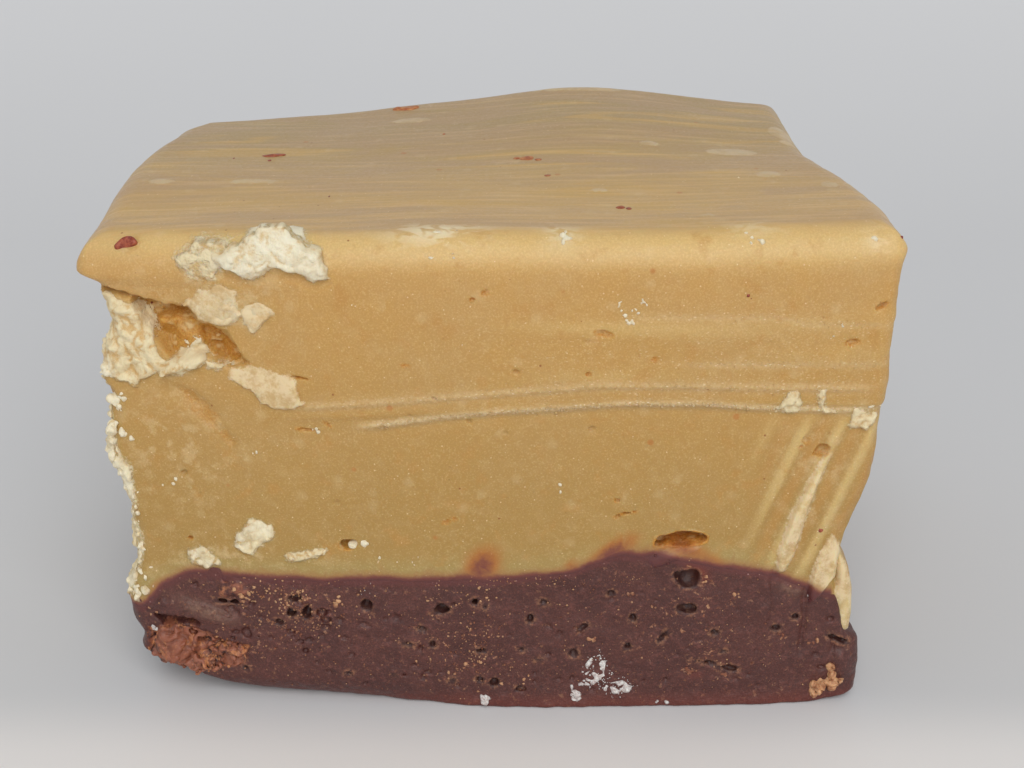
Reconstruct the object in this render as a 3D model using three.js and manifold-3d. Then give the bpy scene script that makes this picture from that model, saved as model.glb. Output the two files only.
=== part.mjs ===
// A square of layered fudge: a deep peanut butter layer on a thinner chocolate layer.
// Millimetres, +Z up. The cut front faces -Y and the right-hand side faces +X.
// The two layers are separate solids that meet along one wavy seam, a hair apart.

import * as THREE from 'three';
import { mergeVertices } from 'three/addons/utils/BufferGeometryUtils.js';
import Module from 'manifold-3d';

const wasm = await Module();
wasm.setup();

// Driving sizes of the whole square
const HALF_WIDTH = 30;
const DEPTH = 43;
const HEIGHT = 41.9;
const SEAM_HEIGHT = 12.4;
const SEAM_GAP = 0.3;
const TOP_EDGE_RADIUS = 2.8;
const UPRIGHT_EDGE_RADIUS = 1.2;

// Half way between the widest points, so that the origin is under the middle of the piece
const MIDDLE_X = -1.35;
const MIDDLE_Y = 22.9;

// Colours taken from the look of the real food
const PEANUT_BUTTER = { color: 0xc79d5e, roughness: 0.55, metalness: 0 };
const CHOCOLATE = { color: 0x5d3c38, roughness: 0.5, metalness: 0 };

// Small helpers for smooth shapes
const clamp = (value, low, high) => Math.min(high, Math.max(low, value));
const mix = (from, to, part) => from + (to - from) * part;
const bump = (value, centre, spread) => Math.exp(-(((value - centre) / spread) ** 2));

function ramp(from, to, value) {
  const part = clamp((value - from) / (to - from), 0, 1);
  return part * part * (3 - 2 * part);
}

function seededRandom(seed) {
  let state = seed >>> 0;
  return () => {
    state = (state * 1664525 + 1013904223) >>> 0;
    return state / 4294967296;
  };
}

// Plan outline: how far each side runs as it goes back (t) or across (s)
const leftEdge = (t) => -(31.4 + 1.3 * ramp(3, 24, t) - ramp(27, 36, t) - 2.0 * ramp(37, 43.5, t));
const rightEdge = (t) => 30.6 - 2.4 * ramp(6, 27, t) + 0.5 * ramp(30, 44, t);
const backEdge = (s) => 43.2 + 2.2 * (s / HALF_WIDTH) + 2.6 * (1 - (s / HALF_WIDTH) ** 2);

function frontEdge(s) {
  const leftBow = clamp((-s - 4) / 26, 0, 1.2);
  const rightBow = clamp((s - 13) / 17, 0, 1.2);
  return 2.6 * leftBow ** 2 + 1.2 * rightBow ** 2;
}

// Side profiles: how far each wall stands out or pulls in with height
function leftOut(t, z) {
  const near = 1 - 0.6 * ramp(5, 20, t);
  const lip = 1.5 * ramp(37.2, 38.2, z) - 0.8 * bump(z, 34.2, 2.6);
  const belly = 0.5 * bump(z, 29, 5) - 1.0 * bump(z, 17, 4) - 0.35 * bump(z, 13.2, 2) + 0.3 * bump(z, 10, 2.4);
  return near * (lip + belly - 0.6 * (1 - ramp(0, 7, z)));
}

function rightOut(t, z) {
  const near = 1 - 0.5 * ramp(6, 22, t);
  const waist = -2.0 * bump(z, 14.6, 5) + 0.3 * bump(z, 3.4, 2.8) + 0.5 * ramp(38.5, 40.5, z);
  return near * (waist - 0.15 * (1 - ramp(27.2, 28, z)));
}

// The knife stopped and started again along this line, so the face above stands out a little
const kneeHeight = (x) => 26.4 + 2.05 * bump(x, 14, 24);
const FRONT_STEP = 0.3;

function frontOut(x, z) {
  const step = FRONT_STEP * ramp(-24, 0, x);
  return step * ramp(kneeHeight(x) - 0.25, kneeHeight(x) + 0.25, z);
}

// The lower edge of the front: squashed out a little, and worn away on the left
function toe(s, z) {
  const reach = 2.1 * ramp(-1, 15, -s) - 0.25;
  return reach * clamp(1 - z / 2.6, 0, 1) ** 2;
}

// The domed top, which sags at the front left corner
function topHeight(x, y) {
  const crown = (2.0 * bump(x, 7, 13) + 0.3 * bump(x, -9, 5)) * ramp(12, 44, y);
  const shoulderRise = 0.3 * ramp(8, 24, y) * ramp(8, 24, -x);
  const sag = 0.8 * Math.exp(-(((x + 33) / 6) ** 2) - ((y + 1) / 8) ** 2);
  return HEIGHT + 0.5 * (x / HALF_WIDTH) + crown + shoulderRise - sag;
}

// The seam between the layers, which swells right of the middle and drops at both ends
function seamHeight(x, y) {
  const swell = 2.05 * bump(x, 12.3, 6.5) + 0.35 * Math.sin(0.21 * y + 0.09 * x);
  return SEAM_HEIGHT + swell - 2.4 * ramp(20, 30, x) - 2.8 * ramp(25, 31, -x);
}

// The broken corner at the lower left stands clear of the floor
function underside(x, y) {
  const lift = 2.2 * Math.exp(-(((x + 32) / 9) ** 2) - ((y - 1) / 10) ** 2);
  return Math.max(0, lift - 0.06);
}

// From brick coordinates (s across, t back) and a height to a place in the real outline
function planPlace(s, t, z) {
  const left = leftEdge(t) - leftOut(t, z);
  const right = rightEdge(t) + rightOut(t, z);
  const x = mix(left, right, (s + HALF_WIDTH) / (2 * HALF_WIDTH));
  const front = frontEdge(s) - frontOut(x, z) + toe(s, z);
  return [x, mix(front, backEdge(s), t / DEPTH)];
}

// Square corners of the brick plan drawn in to round ones, with no two points falling together
function roundCorner(s, t) {
  const coreS = clamp(s, -HALF_WIDTH + UPRIGHT_EDGE_RADIUS, HALF_WIDTH - UPRIGHT_EDGE_RADIUS);
  const coreT = clamp(t, UPRIGHT_EDGE_RADIUS, DEPTH - UPRIGHT_EDGE_RADIUS);
  const overS = s - coreS;
  const overT = t - coreT;
  const length = Math.hypot(overS, overT);
  if (length === 0) return [s, t];
  const scale = Math.max(Math.abs(overS), Math.abs(overT)) / length;
  return [coreS + overS * scale, coreT + overT * scale];
}

// Distance in plan to the nearest upright wall, softened where two walls are near
function wallDistance(s, t) {
  const across = Math.max(0, HALF_WIDTH - Math.abs(s));
  const along = Math.max(0, Math.min(t, DEPTH - t));
  const near = Math.min(across, along);
  const softness = 0.6;
  const blend = Math.max(0, 1 - Math.abs(across - along) / softness);
  return Math.max(0, near - 0.25 * softness * blend * blend * Math.min(1, near));
}

// Grid lines along one side of the brick, close together over the rounded edges
function stations(length, steps) {
  const edge = [0, 0.14, 0.55, 1.3, TOP_EDGE_RADIUS];
  const inner = length - 2 * TOP_EDGE_RADIUS;
  const middle = [];
  for (let i = 1; i < steps; i += 1) middle.push(TOP_EDGE_RADIUS + (inner * i) / steps);
  const far = edge.map((value) => length - value).reverse();
  return [...edge, ...middle, ...far];
}

// One layer: a box with its grid lines moved by the shape functions above
function layer({ acrossSteps, backSteps, levels, place }) {
  const across = stations(2 * HALF_WIDTH, acrossSteps).map((value) => value - HALF_WIDTH);
  const back = stations(DEPTH, backSteps);
  const counts = [across.length - 1, back.length - 1, levels.length - 1];
  const geometry = new THREE.BoxGeometry(1, 1, 1, ...counts);
  const position = geometry.attributes.position;
  for (let i = 0; i < position.count; i += 1) {
    const s = across[Math.round((position.getX(i) + 0.5) * counts[0])];
    const t = back[Math.round((position.getY(i) + 0.5) * counts[1])];
    const level = levels[Math.round((position.getZ(i) + 0.5) * counts[2])];
    const [roundS, roundT] = roundCorner(s, t);
    position.setXYZ(i, ...place(roundS, roundT, level));
  }
  return toSolid(geometry);
}

function toSolid(geometry) {
  const bare = geometry.clone();
  bare.deleteAttribute('normal');
  bare.deleteAttribute('uv');
  const merged = mergeVertices(bare, 1e-4);
  return new wasm.Manifold(new wasm.Mesh({
    numProp: 3,
    vertProperties: Float32Array.from(merged.attributes.position.array),
    triVerts: Uint32Array.from(merged.index.array),
  }));
}

// Peanut butter layer: from the seam to the domed top, level 1 being the top face
const shoulder = 1 - TOP_EDGE_RADIUS / (HEIGHT - SEAM_HEIGHT);
const kneeLevel = (27.4 - SEAM_HEIGHT) / (HEIGHT - SEAM_HEIGHT);

function peanutButterPlace(s, t, level) {
  let height = level;
  if (level === 1) {
    const run = TOP_EDGE_RADIUS - Math.min(TOP_EDGE_RADIUS, wallDistance(s, t));
    const rise = Math.sqrt(TOP_EDGE_RADIUS ** 2 - run ** 2);
    height = mix(shoulder, 1, rise / TOP_EDGE_RADIUS);
  }
  const guess = planPlace(s, t, mix(SEAM_HEIGHT, HEIGHT, height));
  const low = seamHeight(...guess) + SEAM_GAP / 2;
  const follow = (kneeHeight(guess[0]) - 27.4) * bump(height, kneeLevel, 0.17);
  const z = mix(low, topHeight(...guess), height) + follow;
  return [...planPlace(s, t, z), z];
}

// Chocolate layer: from the floor to just under the seam
function chocolatePlace(s, t, level) {
  const guess = planPlace(s, t, level * SEAM_HEIGHT);
  const z = mix(underside(...guess), seamHeight(...guess) - SEAM_GAP / 2, level);
  return [...planPlace(s, t, z), z];
}

// Balls that the lumps start from, by how finely they are faceted
const BALLS = {
  coarse: () => new THREE.OctahedronGeometry(1, 1),
  plain: () => new THREE.IcosahedronGeometry(1, 1),
  fine: () => new THREE.IcosahedronGeometry(1, 2),
};

// A rough rounded lump: a ball with uneven radii, turned, then put in its place
function lump({ at, size, turn = 0, rough = 0.16, seed = 1, ball = 'plain' }) {
  const random = seededRandom(seed * 7919 + 17);
  const waves = Array.from({ length: 5 }, () => ({
    direction: new THREE.Vector3(random() - 0.5, random() - 0.5, random() - 0.5).multiplyScalar(7),
    phase: random() * Math.PI * 2,
  }));
  const geometry = BALLS[ball]();
  const position = geometry.attributes.position;
  const point = new THREE.Vector3();
  for (let i = 0; i < position.count; i += 1) {
    point.fromBufferAttribute(position, i);
    const sum = waves.reduce((total, wave) => total + Math.sin(point.dot(wave.direction) + wave.phase), 0);
    point.multiplyScalar(1 + (rough * sum) / 2);
    position.setXYZ(i, point.x, point.y, point.z);
  }
  geometry.scale(...size);
  geometry.rotateY(THREE.MathUtils.degToRad(-turn));
  geometry.translate(...at);
  return toSolid(geometry);
}

const joinAll = (solids) => solids.reduce((whole, piece) => whole.add(piece));

// A place on the front face, a given distance out from it
const onFront = (x, z, out = 0) => [x, frontEdge(x) - frontOut(x, z) + toe(x, z) - out, z];
const onLeft = (y, z, out = 0) => [leftEdge(y) - leftOut(y, z) - out, y, z];
const onRight = (y, z, out = 0) => [rightEdge(y) + rightOut(y, z) + out, y, z];
const onBack = (x, z, out = 0) => [x, backEdge(x) + out, z];

// A long low ridge on the front between two places
function frontRidge({ from, to, width, depth, out, seed }) {
  const slope = THREE.MathUtils.radToDeg(Math.atan2(to[1] - from[1], to[0] - from[0]));
  const half = Math.hypot(to[0] - from[0], to[1] - from[1]) / 2;
  const at = onFront(mix(from[0], to[0], 0.5), mix(from[1], to[1], 0.5), out);
  return lump({ at, size: [half, depth, width / 2], turn: slope, seed, rough: 0.09, ball: 'fine' });
}

// Crag at the upper left: a slanting hollow that runs in from the side under a smooth lip
function crag() {
  return [
    lump({ at: onFront(-31.0, 37.2, -0.2), size: [1.8, 1.7, 0.5], turn: -14, seed: 3 }),
    lump({ at: onFront(-28.6, 36.4, 0.1), size: [1.7, 1.3, 0.55], turn: -30, seed: 4 }),
    lump({ at: onFront(-26.9, 35.4, 0.1), size: [1.3, 1.6, 0.9], turn: -50, seed: 5 }),
    lump({ at: onFront(-25.1, 34.5, 0.1), size: [2.0, 1.9, 1.5], turn: -35, seed: 6, ball: 'fine' }),
    lump({ at: onFront(-23.0, 33.3, 0.1), size: [1.9, 1.6, 1.2], turn: -38, seed: 7 }),
    lump({ at: onFront(-21.2, 32.2, 0.2), size: [1.5, 1.2, 0.7], turn: -45, seed: 8 }),
  ];
}

// Pale crumbly ledge under the crag, and the flake to its right
function ledgeAndFlake() {
  const ledge = [
    lump({ at: onFront(-25.8, 31.5, -0.2), size: [1.5, 1.0, 0.9], turn: 12, seed: 11 }),
    lump({ at: onFront(-23.9, 31.4, -0.2), size: [1.5, 1.1, 0.9], turn: 4, seed: 12 }),
    lump({ at: onFront(-22.2, 30.7, -0.2), size: [1.2, 0.8, 0.6], turn: -22, seed: 13 }),
    lump({ at: onFront(-29.4, 34.1, -0.5), size: [1.4, 1.2, 2.2], turn: 0, seed: 14 }),
    lump({ at: onFront(-28.2, 31.8, -0.5), size: [1.9, 1.1, 1.8], turn: -8, seed: 15 }),
  ];
  const flake = lump({ at: onFront(-18.0, 29.4, -0.15), size: [3.0, 0.65, 1.15], turn: -14, seed: 16, ball: 'fine' });
  return [...ledge, flake];
}

// Crumbs pressed against the top front edge
function edgeCrumbs() {
  const main = [
    [-18.6, 39.8, 1.3],
    [-17.2, 40.3, 1.5],
    [-15.6, 40.2, 1.5],
    [-14.4, 39.4, 1.3],
    [-19.9, 40.6, 0.9],
  ];
  const small = [[5.3, 41.3, 0.6], [-4.9, 39.8, 0.5], [-20.9, 36.3, 1.1], [-19.3, 35.8, 0.9], [-22.2, 36.3, 0.8]];
  return [...main, ...small].map(([x, z, radius], i) => {
    const lean = Math.max(0, z - 39.2) * 0.42;
    const at = onFront(x, z, -0.35 * radius - lean);
    return lump({ at, size: [radius, radius * 0.75, radius * 0.7], seed: 30 + i, rough: 0.22 });
  });
}

// Ridges dragged down the right of the front by the knife
const upperRidge = () => frontRidge({
  from: [28.6, 26.2], to: [22.9, 12.9], width: 1.3, depth: 0.7, out: -0.05, seed: 50,
});

// The lower ridge and the tongue lie over the chocolate, which is cut back round them when grown
const CLEARANCE = 0.35;
const lowerRidge = (grow = 0) => frontRidge({
  from: [28.6, 19.2], to: [26.2, 10.6 - grow], width: 1.7 + 3 * grow, depth: 0.9 + grow, out: -0.15, seed: 60,
});

// Peanut butter smeared down over the chocolate at the front of the right-hand side
function tongue(grow = 0) {
  const size = [0.95 + grow, 1.9 + grow, 3.6 + grow];
  return lump({ at: onRight(3.9, 9.6, -0.3), size, seed: 71, rough: 0.07, ball: 'fine' });
}

// Holes left by bubbles in the cut front: x, z, half width, half height, depth
const PEANUT_HOLES = [
  [14.8, 16.0, 1.9, 0.55, 1.3],
  [-12.2, 15.6, 1.1, 0.6, 1.0],
  [24.4, 24.8, 0.6, 0.55, 0.6],
  [25.5, 23.9, 0.65, 0.5, 0.6],
  [10.3, 18.7, 0.9, 0.3, 0.4],
  [8.4, 34.4, 0.8, 0.4, 0.4],
];
const CHOCOLATE_HOLES = [
  [-11.1, 9.9, 0.55, 0.6, 0.9],
  [-2.0, 10.3, 0.45, 0.55, 0.8],
  [-5.2, 9.9, 0.6, 0.3, 0.6],
  [-7.7, 6.7, 0.5, 0.3, 0.5],
  [-1.6, 5.5, 0.6, 0.35, 0.6],
  [3.4, 4.7, 0.55, 0.35, 0.6],
  [10.7, 6.0, 0.4, 0.6, 0.6],
  [15.8, 9.8, 0.9, 0.6, 0.6],
  [15.4, 12.2, 1.2, 0.9, 0.9],
  [-16.8, 8.6, 1.0, 0.8, 0.6],
];

const holes = (list, seed) => list.map(([x, z, halfWidth, halfHeight, depth], i) =>
  lump({ at: onFront(x, z), size: [halfWidth, depth, halfHeight], seed: seed + i, rough: 0.12 }));

// Crumbs clinging to a side, scattered by a rule and thinning out away from the front
function sideCrumbs({ place, count, lowest, highest, deepest, radius, seed }) {
  const random = seededRandom(seed);
  return Array.from({ length: count }, (_, i) => {
    const along = 1.2 + (deepest - 1.2) * random() ** 1.6;
    const z = mix(lowest, highest, (i + random()) / count);
    const r = radius * (0.7 + 0.7 * random());
    const size = [r * 0.8, r, r];
    return lump({ at: place(along, z, 0.05 * r), size, seed: seed + 1 + i, rough: 0.24, ball: 'coarse' });
  });
}

const leftPeanutCrumbs = () => sideCrumbs({
  place: onLeft, count: 14, lowest: 13.5, highest: 36, deepest: 34, radius: 0.95, seed: 101,
});

// Crumbly lumps that stand out down the left front edge: x, z, radius
const LEFT_EDGE_LUMPS = [
  [-30.6, 29.0, 1.1],
  [-30.4, 26.5, 0.9],
  [-30.9, 23.4, 1.3],
  [-30.6, 21.2, 1.0],
  [-28.4, 19.4, 0.9],
  [-30.1, 17.1, 0.9],
  [-30.0, 13.8, 0.8],
];
const leftEdgeLumps = () => LEFT_EDGE_LUMPS.map(([x, z, r], i) =>
  lump({ at: onFront(x, z, -0.9), size: [r, 1.2 * r, r], seed: 110 + i, rough: 0.24 }));
const leftChocolateCrumbs = () => sideCrumbs({
  place: onLeft, count: 6, lowest: 3, highest: 8, deepest: 34, radius: 0.8, seed: 131,
});
const backPeanutPits = () => sideCrumbs({
  place: (along, z) => onBack(along * 1.5 - 26, z), count: 7, lowest: 18, highest: 35, deepest: 34, radius: 0.8, seed: 151,
});
const backChocolatePits = () => sideCrumbs({
  place: (along, z) => onBack(26 - along * 1.5, z), count: 6, lowest: 3, highest: 9, deepest: 34, radius: 0.7, seed: 171,
});

// The broken lower left corner of the chocolate: two bites out of it, then loose chunks
const cornerBites = () => [
  lump({ at: onFront(-30.6, 2.6, 0.3), size: [2.6, 3.0, 2.4], turn: 20, seed: 201, ball: 'fine', rough: 0.2 }),
  lump({ at: onFront(-26.2, 7.4, 0.3), size: [1.9, 1.2, 0.45], turn: 6, seed: 202 }),
  lump({ at: onFront(-24.9, 5.2, 0.3), size: [1.1, 1.1, 0.9], turn: 0, seed: 203, rough: 0.2 }),
];
const cornerChunks = () => [
  lump({ at: onFront(-28.2, 5.3, -0.4), size: [1.8, 1.4, 1.2], turn: -12, seed: 211, rough: 0.24, ball: 'fine' }),
  lump({ at: onFront(-24.4, 7.6, -0.3), size: [1.9, 0.8, 0.6], turn: -6, seed: 212 }),
  lump({ at: onFront(-26.4, 3.2, -0.3), size: [1.5, 1.0, 0.8], turn: 8, seed: 213, rough: 0.2 }),
  lump({ at: onFront(-22.6, 11.0, -0.35), size: [1.3, 0.8, 0.7], turn: 0, seed: 214, rough: 0.2 }),
];

// The lower right corner bulges, with a lump of crumb at its foot
const footLumps = () => [
  lump({ at: onFront(28.9, 4.6, -0.4), size: [1.5, 1.5, 2.2], turn: 8, seed: 221, rough: 0.14, ball: 'fine' }),
  lump({ at: onFront(27.8, 1.9, -0.1), size: [1.6, 1.0, 1.0], turn: 20, seed: 222, rough: 0.24 }),
];

// Anything that would hang below the floor is trimmed away
function floorTrim() {
  const slab = new THREE.BoxGeometry(90, 90, 6);
  slab.translate(0, DEPTH / 2, -3);
  return toSolid(slab);
}

function peanutButterLayer() {
  const base = layer({
    acrossSteps: 16,
    backSteps: 11,
    levels: [0, 0.09, 0.22, 0.36, kneeLevel - 0.008, kneeLevel + 0.008, 0.68, 0.84, 0.88, shoulder, 1],
    place: peanutButterPlace,
  });
  const added = joinAll([...ledgeAndFlake(), ...edgeCrumbs(), upperRidge(), lowerRidge(), tongue(), ...leftEdgeLumps(), ...leftPeanutCrumbs()]);
  const taken = joinAll([...crag(), ...holes(PEANUT_HOLES, 80), ...backPeanutPits()]);
  return base.subtract(joinAll(crag())).add(added).subtract(taken);
}

function chocolateLayer(above) {
  const base = layer({
    acrossSteps: 16,
    backSteps: 11,
    levels: [0, 0.1, 0.3, 0.52, 0.76, 1],
    place: chocolatePlace,
  });
  const added = joinAll([...cornerChunks(), ...footLumps(), ...leftChocolateCrumbs()]);
  const over = [tongue(CLEARANCE), lowerRidge(CLEARANCE)];
  const taken = joinAll([...holes(CHOCOLATE_HOLES, 90), ...backChocolatePits(), ...over]);
  return base.subtract(joinAll(cornerBites())).add(added).subtract(taken).subtract(floorTrim());
}

// The biggest piece alone, so that no loose scrap is left beside it
function onePiece(solid) {
  const pieces = solid.decompose();
  return pieces.reduce((best, piece) => (piece.volume() > best.volume() ? piece : best));
}

function toMesh(name, solid, look) {
  const { numProp, vertProperties, triVerts } = onePiece(solid).getMesh();
  const points = new Float32Array((vertProperties.length / numProp) * 3);
  for (let i = 0; i < points.length / 3; i += 1) {
    points.set(vertProperties.subarray(i * numProp, i * numProp + 3), i * 3);
  }
  const geometry = new THREE.BufferGeometry();
  geometry.setAttribute('position', new THREE.BufferAttribute(points, 3));
  geometry.setIndex(new THREE.BufferAttribute(Uint32Array.from(triVerts), 1));
  geometry.computeVertexNormals();
  const mesh = new THREE.Mesh(geometry, new THREE.MeshStandardMaterial(look));
  mesh.name = name;
  return mesh;
}

const fudge = new THREE.Group();
fudge.name = 'layered_fudge_square';
fudge.add(toMesh('peanut_butter_layer', peanutButterLayer(), PEANUT_BUTTER));
fudge.add(toMesh('chocolate_layer', chocolateLayer(), CHOCOLATE));
fudge.position.set(-MIDDLE_X, -MIDDLE_Y, 0);

export default fudge;
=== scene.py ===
import itertools
import math
import bpy
import numpy as np
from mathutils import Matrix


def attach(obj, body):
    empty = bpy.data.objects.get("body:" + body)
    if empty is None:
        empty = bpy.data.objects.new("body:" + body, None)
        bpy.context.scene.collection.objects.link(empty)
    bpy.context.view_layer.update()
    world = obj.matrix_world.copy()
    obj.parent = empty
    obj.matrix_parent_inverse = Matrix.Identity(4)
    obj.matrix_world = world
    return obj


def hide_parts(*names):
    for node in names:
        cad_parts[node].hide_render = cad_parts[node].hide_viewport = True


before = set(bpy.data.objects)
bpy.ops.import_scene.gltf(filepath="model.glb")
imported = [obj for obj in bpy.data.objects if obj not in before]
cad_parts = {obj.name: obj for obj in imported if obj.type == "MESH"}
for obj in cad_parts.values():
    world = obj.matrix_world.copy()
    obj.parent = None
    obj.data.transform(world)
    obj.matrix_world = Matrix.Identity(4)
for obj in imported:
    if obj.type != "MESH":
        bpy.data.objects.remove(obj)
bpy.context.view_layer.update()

import openvdb
from mathutils import Vector

# Shapes are worked out in millimetres, in the same coordinates as the solids: x across the cut front,
# y back from it and z up. MIDDLE is half way between the widest points, which becomes the origin.
MM = 0.001
HALF_WIDTH = 30.0
DEPTH = 43.0
HEIGHT = 41.9
SEAM_HEIGHT = 12.4
TOP_EDGE_RADIUS = 2.8
UPRIGHT_EDGE_RADIUS = 1.2
MIDDLE = np.array([-1.35, 22.9, 0.0])

# Spacing of the grids that the pieces are meshed on
STEP = 0.18
FINE_STEP = 0.14
FRONT_STEP = 0.16
BACK_STEP = 0.48
CRUMB_STEP = 0.09
LAYER_FACES = 196_000
CRUMB_FACES = 196_000


# Smooth helpers

def ramp(start, end, value):
    part = np.clip((value - start) / (end - start), 0, 1)
    return part * part * (3 - 2 * part)


def bump(value, centre, spread):
    return np.exp(-((value - centre) / spread) ** 2)


def spot(u, v, centre_u, centre_v, spread_u, spread_v, turn=0.0):
    """A soft spot in a plane, stretched and turned by degrees."""
    angle = math.radians(turn)
    along = (u - centre_u) * math.cos(angle) + (v - centre_v) * math.sin(angle)
    across = (v - centre_v) * math.cos(angle) - (u - centre_u) * math.sin(angle)
    return np.exp(-(along / spread_u) ** 2 - (across / spread_v) ** 2)


def level(like, value=0.0):
    """One coordinate held still, for grid lines or for a column of points."""
    return np.full((1, 1, 1), value) if like.ndim == 3 else 0 * like + value


def outline_distance(outline, u, v):
    """Distance to a closed outline in a plane, less than nought inside it."""
    u, v = np.broadcast_arrays(u, v)
    nearest = np.full(u.shape, 1e6)
    within = np.zeros(u.shape, bool)
    for (u0, v0), (u1, v1) in zip(outline, outline[1:] + outline[:1]):
        du, dv = u1 - u0, v1 - v0
        part = np.clip(((u - u0) * du + (v - v0) * dv) / (du * du + dv * dv), 0, 1)
        nearest = np.minimum(nearest, (u - u0 - part * du) ** 2 + (v - v0 - part * dv) ** 2)
        if dv:
            within ^= ((v0 > v) != (v1 > v)) & (u < du * (v - v0) / dv + u0)
    return np.where(within, -1, 1) * np.sqrt(nearest)


# The same plan outline and side profiles as the solids

def left_edge(t):
    return -(31.4 + 1.3 * ramp(3, 24, t) - ramp(27, 36, t) - 2.0 * ramp(37, 43.5, t))


def right_edge(t):
    return 30.6 - 2.4 * ramp(6, 27, t) + 0.5 * ramp(30, 44, t)


def back_edge(s):
    return 43.2 + 2.2 * (s / HALF_WIDTH) + 2.6 * (1 - (s / HALF_WIDTH) ** 2)


def front_edge(s):
    left_bow = np.clip((-s - 4) / 26, 0, 1.2)
    right_bow = np.clip((s - 13) / 17, 0, 1.2)
    return 2.6 * left_bow ** 2 + 1.2 * right_bow ** 2


def left_out(t, z):
    near = 1 - 0.6 * ramp(5, 20, t)
    lip = 1.5 * ramp(37.2, 38.2, z) - 0.8 * bump(z, 34.2, 2.6)
    belly = 0.5 * bump(z, 29, 5) - 1.0 * bump(z, 17, 4) - 0.35 * bump(z, 13.2, 2) + 0.3 * bump(z, 10, 2.4)
    return near * (lip + belly - 0.6 * (1 - ramp(0, 7, z)))


def right_out(t, z):
    near = 1 - 0.5 * ramp(6, 22, t)
    waist = -2.0 * bump(z, 14.6, 5) + 0.3 * bump(z, 3.4, 2.8) + 0.5 * ramp(38.5, 40.5, z)
    return near * (waist - 0.15 * (1 - ramp(27.2, 28, z)))


def knee_height(x):
    return 26.4 + 2.05 * bump(x, 14, 24)


def front_out(x, z):
    return 0.3 * ramp(-24, 0, x) * ramp(knee_height(x) - 0.25, knee_height(x) + 0.25, z)


def toe(s, z):
    reach = 2.1 * ramp(-1, 15, -s) - 0.25
    return reach * np.clip(1 - z / 2.6, 0, 1) ** 2


def top_height(x, y):
    crown = (2.0 * bump(x, 7, 13) + 0.3 * bump(x, -9, 5)) * ramp(12, 44, y)
    shoulder_rise = 0.3 * ramp(8, 24, y) * ramp(8, 24, -x)
    sag = 0.8 * np.exp(-((x + 33) / 6) ** 2 - ((y + 1) / 8) ** 2)
    return HEIGHT + 0.5 * (x / HALF_WIDTH) + crown + shoulder_rise - sag


def seam_height(x, y):
    swell = 2.05 * bump(x, 12.3, 6.5) + 0.35 * np.sin(0.21 * y + 0.09 * x)
    return SEAM_HEIGHT + swell - 2.4 * ramp(20, 30, x) - 2.8 * ramp(25, 31, -x)


def underside(x, y):
    lift = 2.2 * np.exp(-((x + 32) / 9) ** 2 - ((y - 1) / 10) ** 2)
    return np.maximum(0, lift - 0.06)


def across_brick(x, z):
    """Where x falls across the front of the brick that the solids are bent from."""
    left = left_edge(0) - left_out(0, z)
    right = right_edge(0) + right_out(0, z)
    return np.clip((x - left) / (right - left), -0.1, 1.1) * 2 * HALF_WIDTH - HALF_WIDTH


def front_wall(x, z):
    s = across_brick(x, z)
    return front_edge(s) - front_out(x, z) + toe(s, z)


def back_wall(x, z):
    s = np.clip((x + 29.9) / 58.7, -0.1, 1.1) * 2 * HALF_WIDTH - HALF_WIDTH
    return back_edge(s) + 0 * z


def left_wall(y, z):
    t = (y - 2.6) * DEPTH / 38.4
    return left_edge(t) - left_out(t, z)


def right_wall(y, z):
    t = (y - 1.2) * DEPTH / 44.2
    return right_edge(t) + right_out(t, z)


# Smooth random values through space

class Noise:
    """Cubic spline noise on a lattice, about -1 to 1, and the same each run for one seed."""

    LOW = np.array([-38.0, -6.0, -4.0])
    HIGH = np.array([38.0, 54.0, 50.0])

    def __init__(self, cell, seed):
        self.cell = np.broadcast_to(np.asarray(cell, float), (3,)).copy()
        count = np.ceil((self.HIGH - self.LOW) / self.cell).astype(int) + 4
        self.values = np.random.default_rng(seed).uniform(-1.9, 1.9, count).astype(np.float32)

    def weights(self, places, axis):
        u = np.clip((places - self.LOW[axis]) / self.cell[axis], 0, self.values.shape[axis] - 4.001)
        first = u.astype(int)
        f = u - first
        parts = [(1 - f) ** 3, 3 * f ** 3 - 6 * f ** 2 + 4, -3 * f ** 3 + 3 * f ** 2 + 3 * f + 1, f ** 3]
        return first, [part / 6 for part in parts]

    def matrix(self, places, axis):
        """Weights of the lattice values that are needed along one axis, and which values those are."""
        first, parts = self.weights(places, axis)
        low, high = first.min(), first.max() + 4
        rows = np.arange(len(first))
        table = np.zeros((len(first), high - low), np.float32)
        for k, part in enumerate(parts):
            table[rows, first - low + k] = part
        return table, slice(low, high)

    def grid(self, x, y, z):
        """Values on the grid of all x, y and z lines."""
        (mx, sx), (my, sy), (mz, sz) = self.matrix(x, 0), self.matrix(y, 1), self.matrix(z, 2)
        part = self.values[sx, sy, sz]
        nx, ny, nz = part.shape
        out = mx @ part.reshape(nx, ny * nz)
        out = out.reshape(-1, ny, nz) @ mz.T
        return np.matmul(my, out)

    def at(self, points):
        """Values at single points, one row each."""
        ends = [self.weights(points[:, axis], axis) for axis in range(3)]
        out = np.zeros(len(points), np.float32)
        for i, j, k in itertools.product(range(4), repeat=3):
            pick = self.values[ends[0][0] + i, ends[1][0] + j, ends[2][0] + k]
            out += (ends[0][1][i] * ends[1][1][j] * ends[2][1][k] * pick).astype(np.float32)
        return out

    def __call__(self, x, y, z):
        """Values for grid lines that broadcast together, or for three columns of points."""
        if x.ndim == 3:
            return self.grid(x.ravel(), y.ravel(), z.ravel())
        return self.at(np.stack([x, y, z], 1))


WAVES = Noise(9.0, 11)
LUMPY = Noise(2.6, 12)
ROUGH = Noise(1.1, 13)
GRIT = Noise(0.55, 14)
FINE = Noise(0.28, 21)
KNIFE = Noise((13.0, 6.0, 0.75), 15)
FINE_KNIFE = Noise((7.0, 6.0, 0.4), 16)


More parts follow.
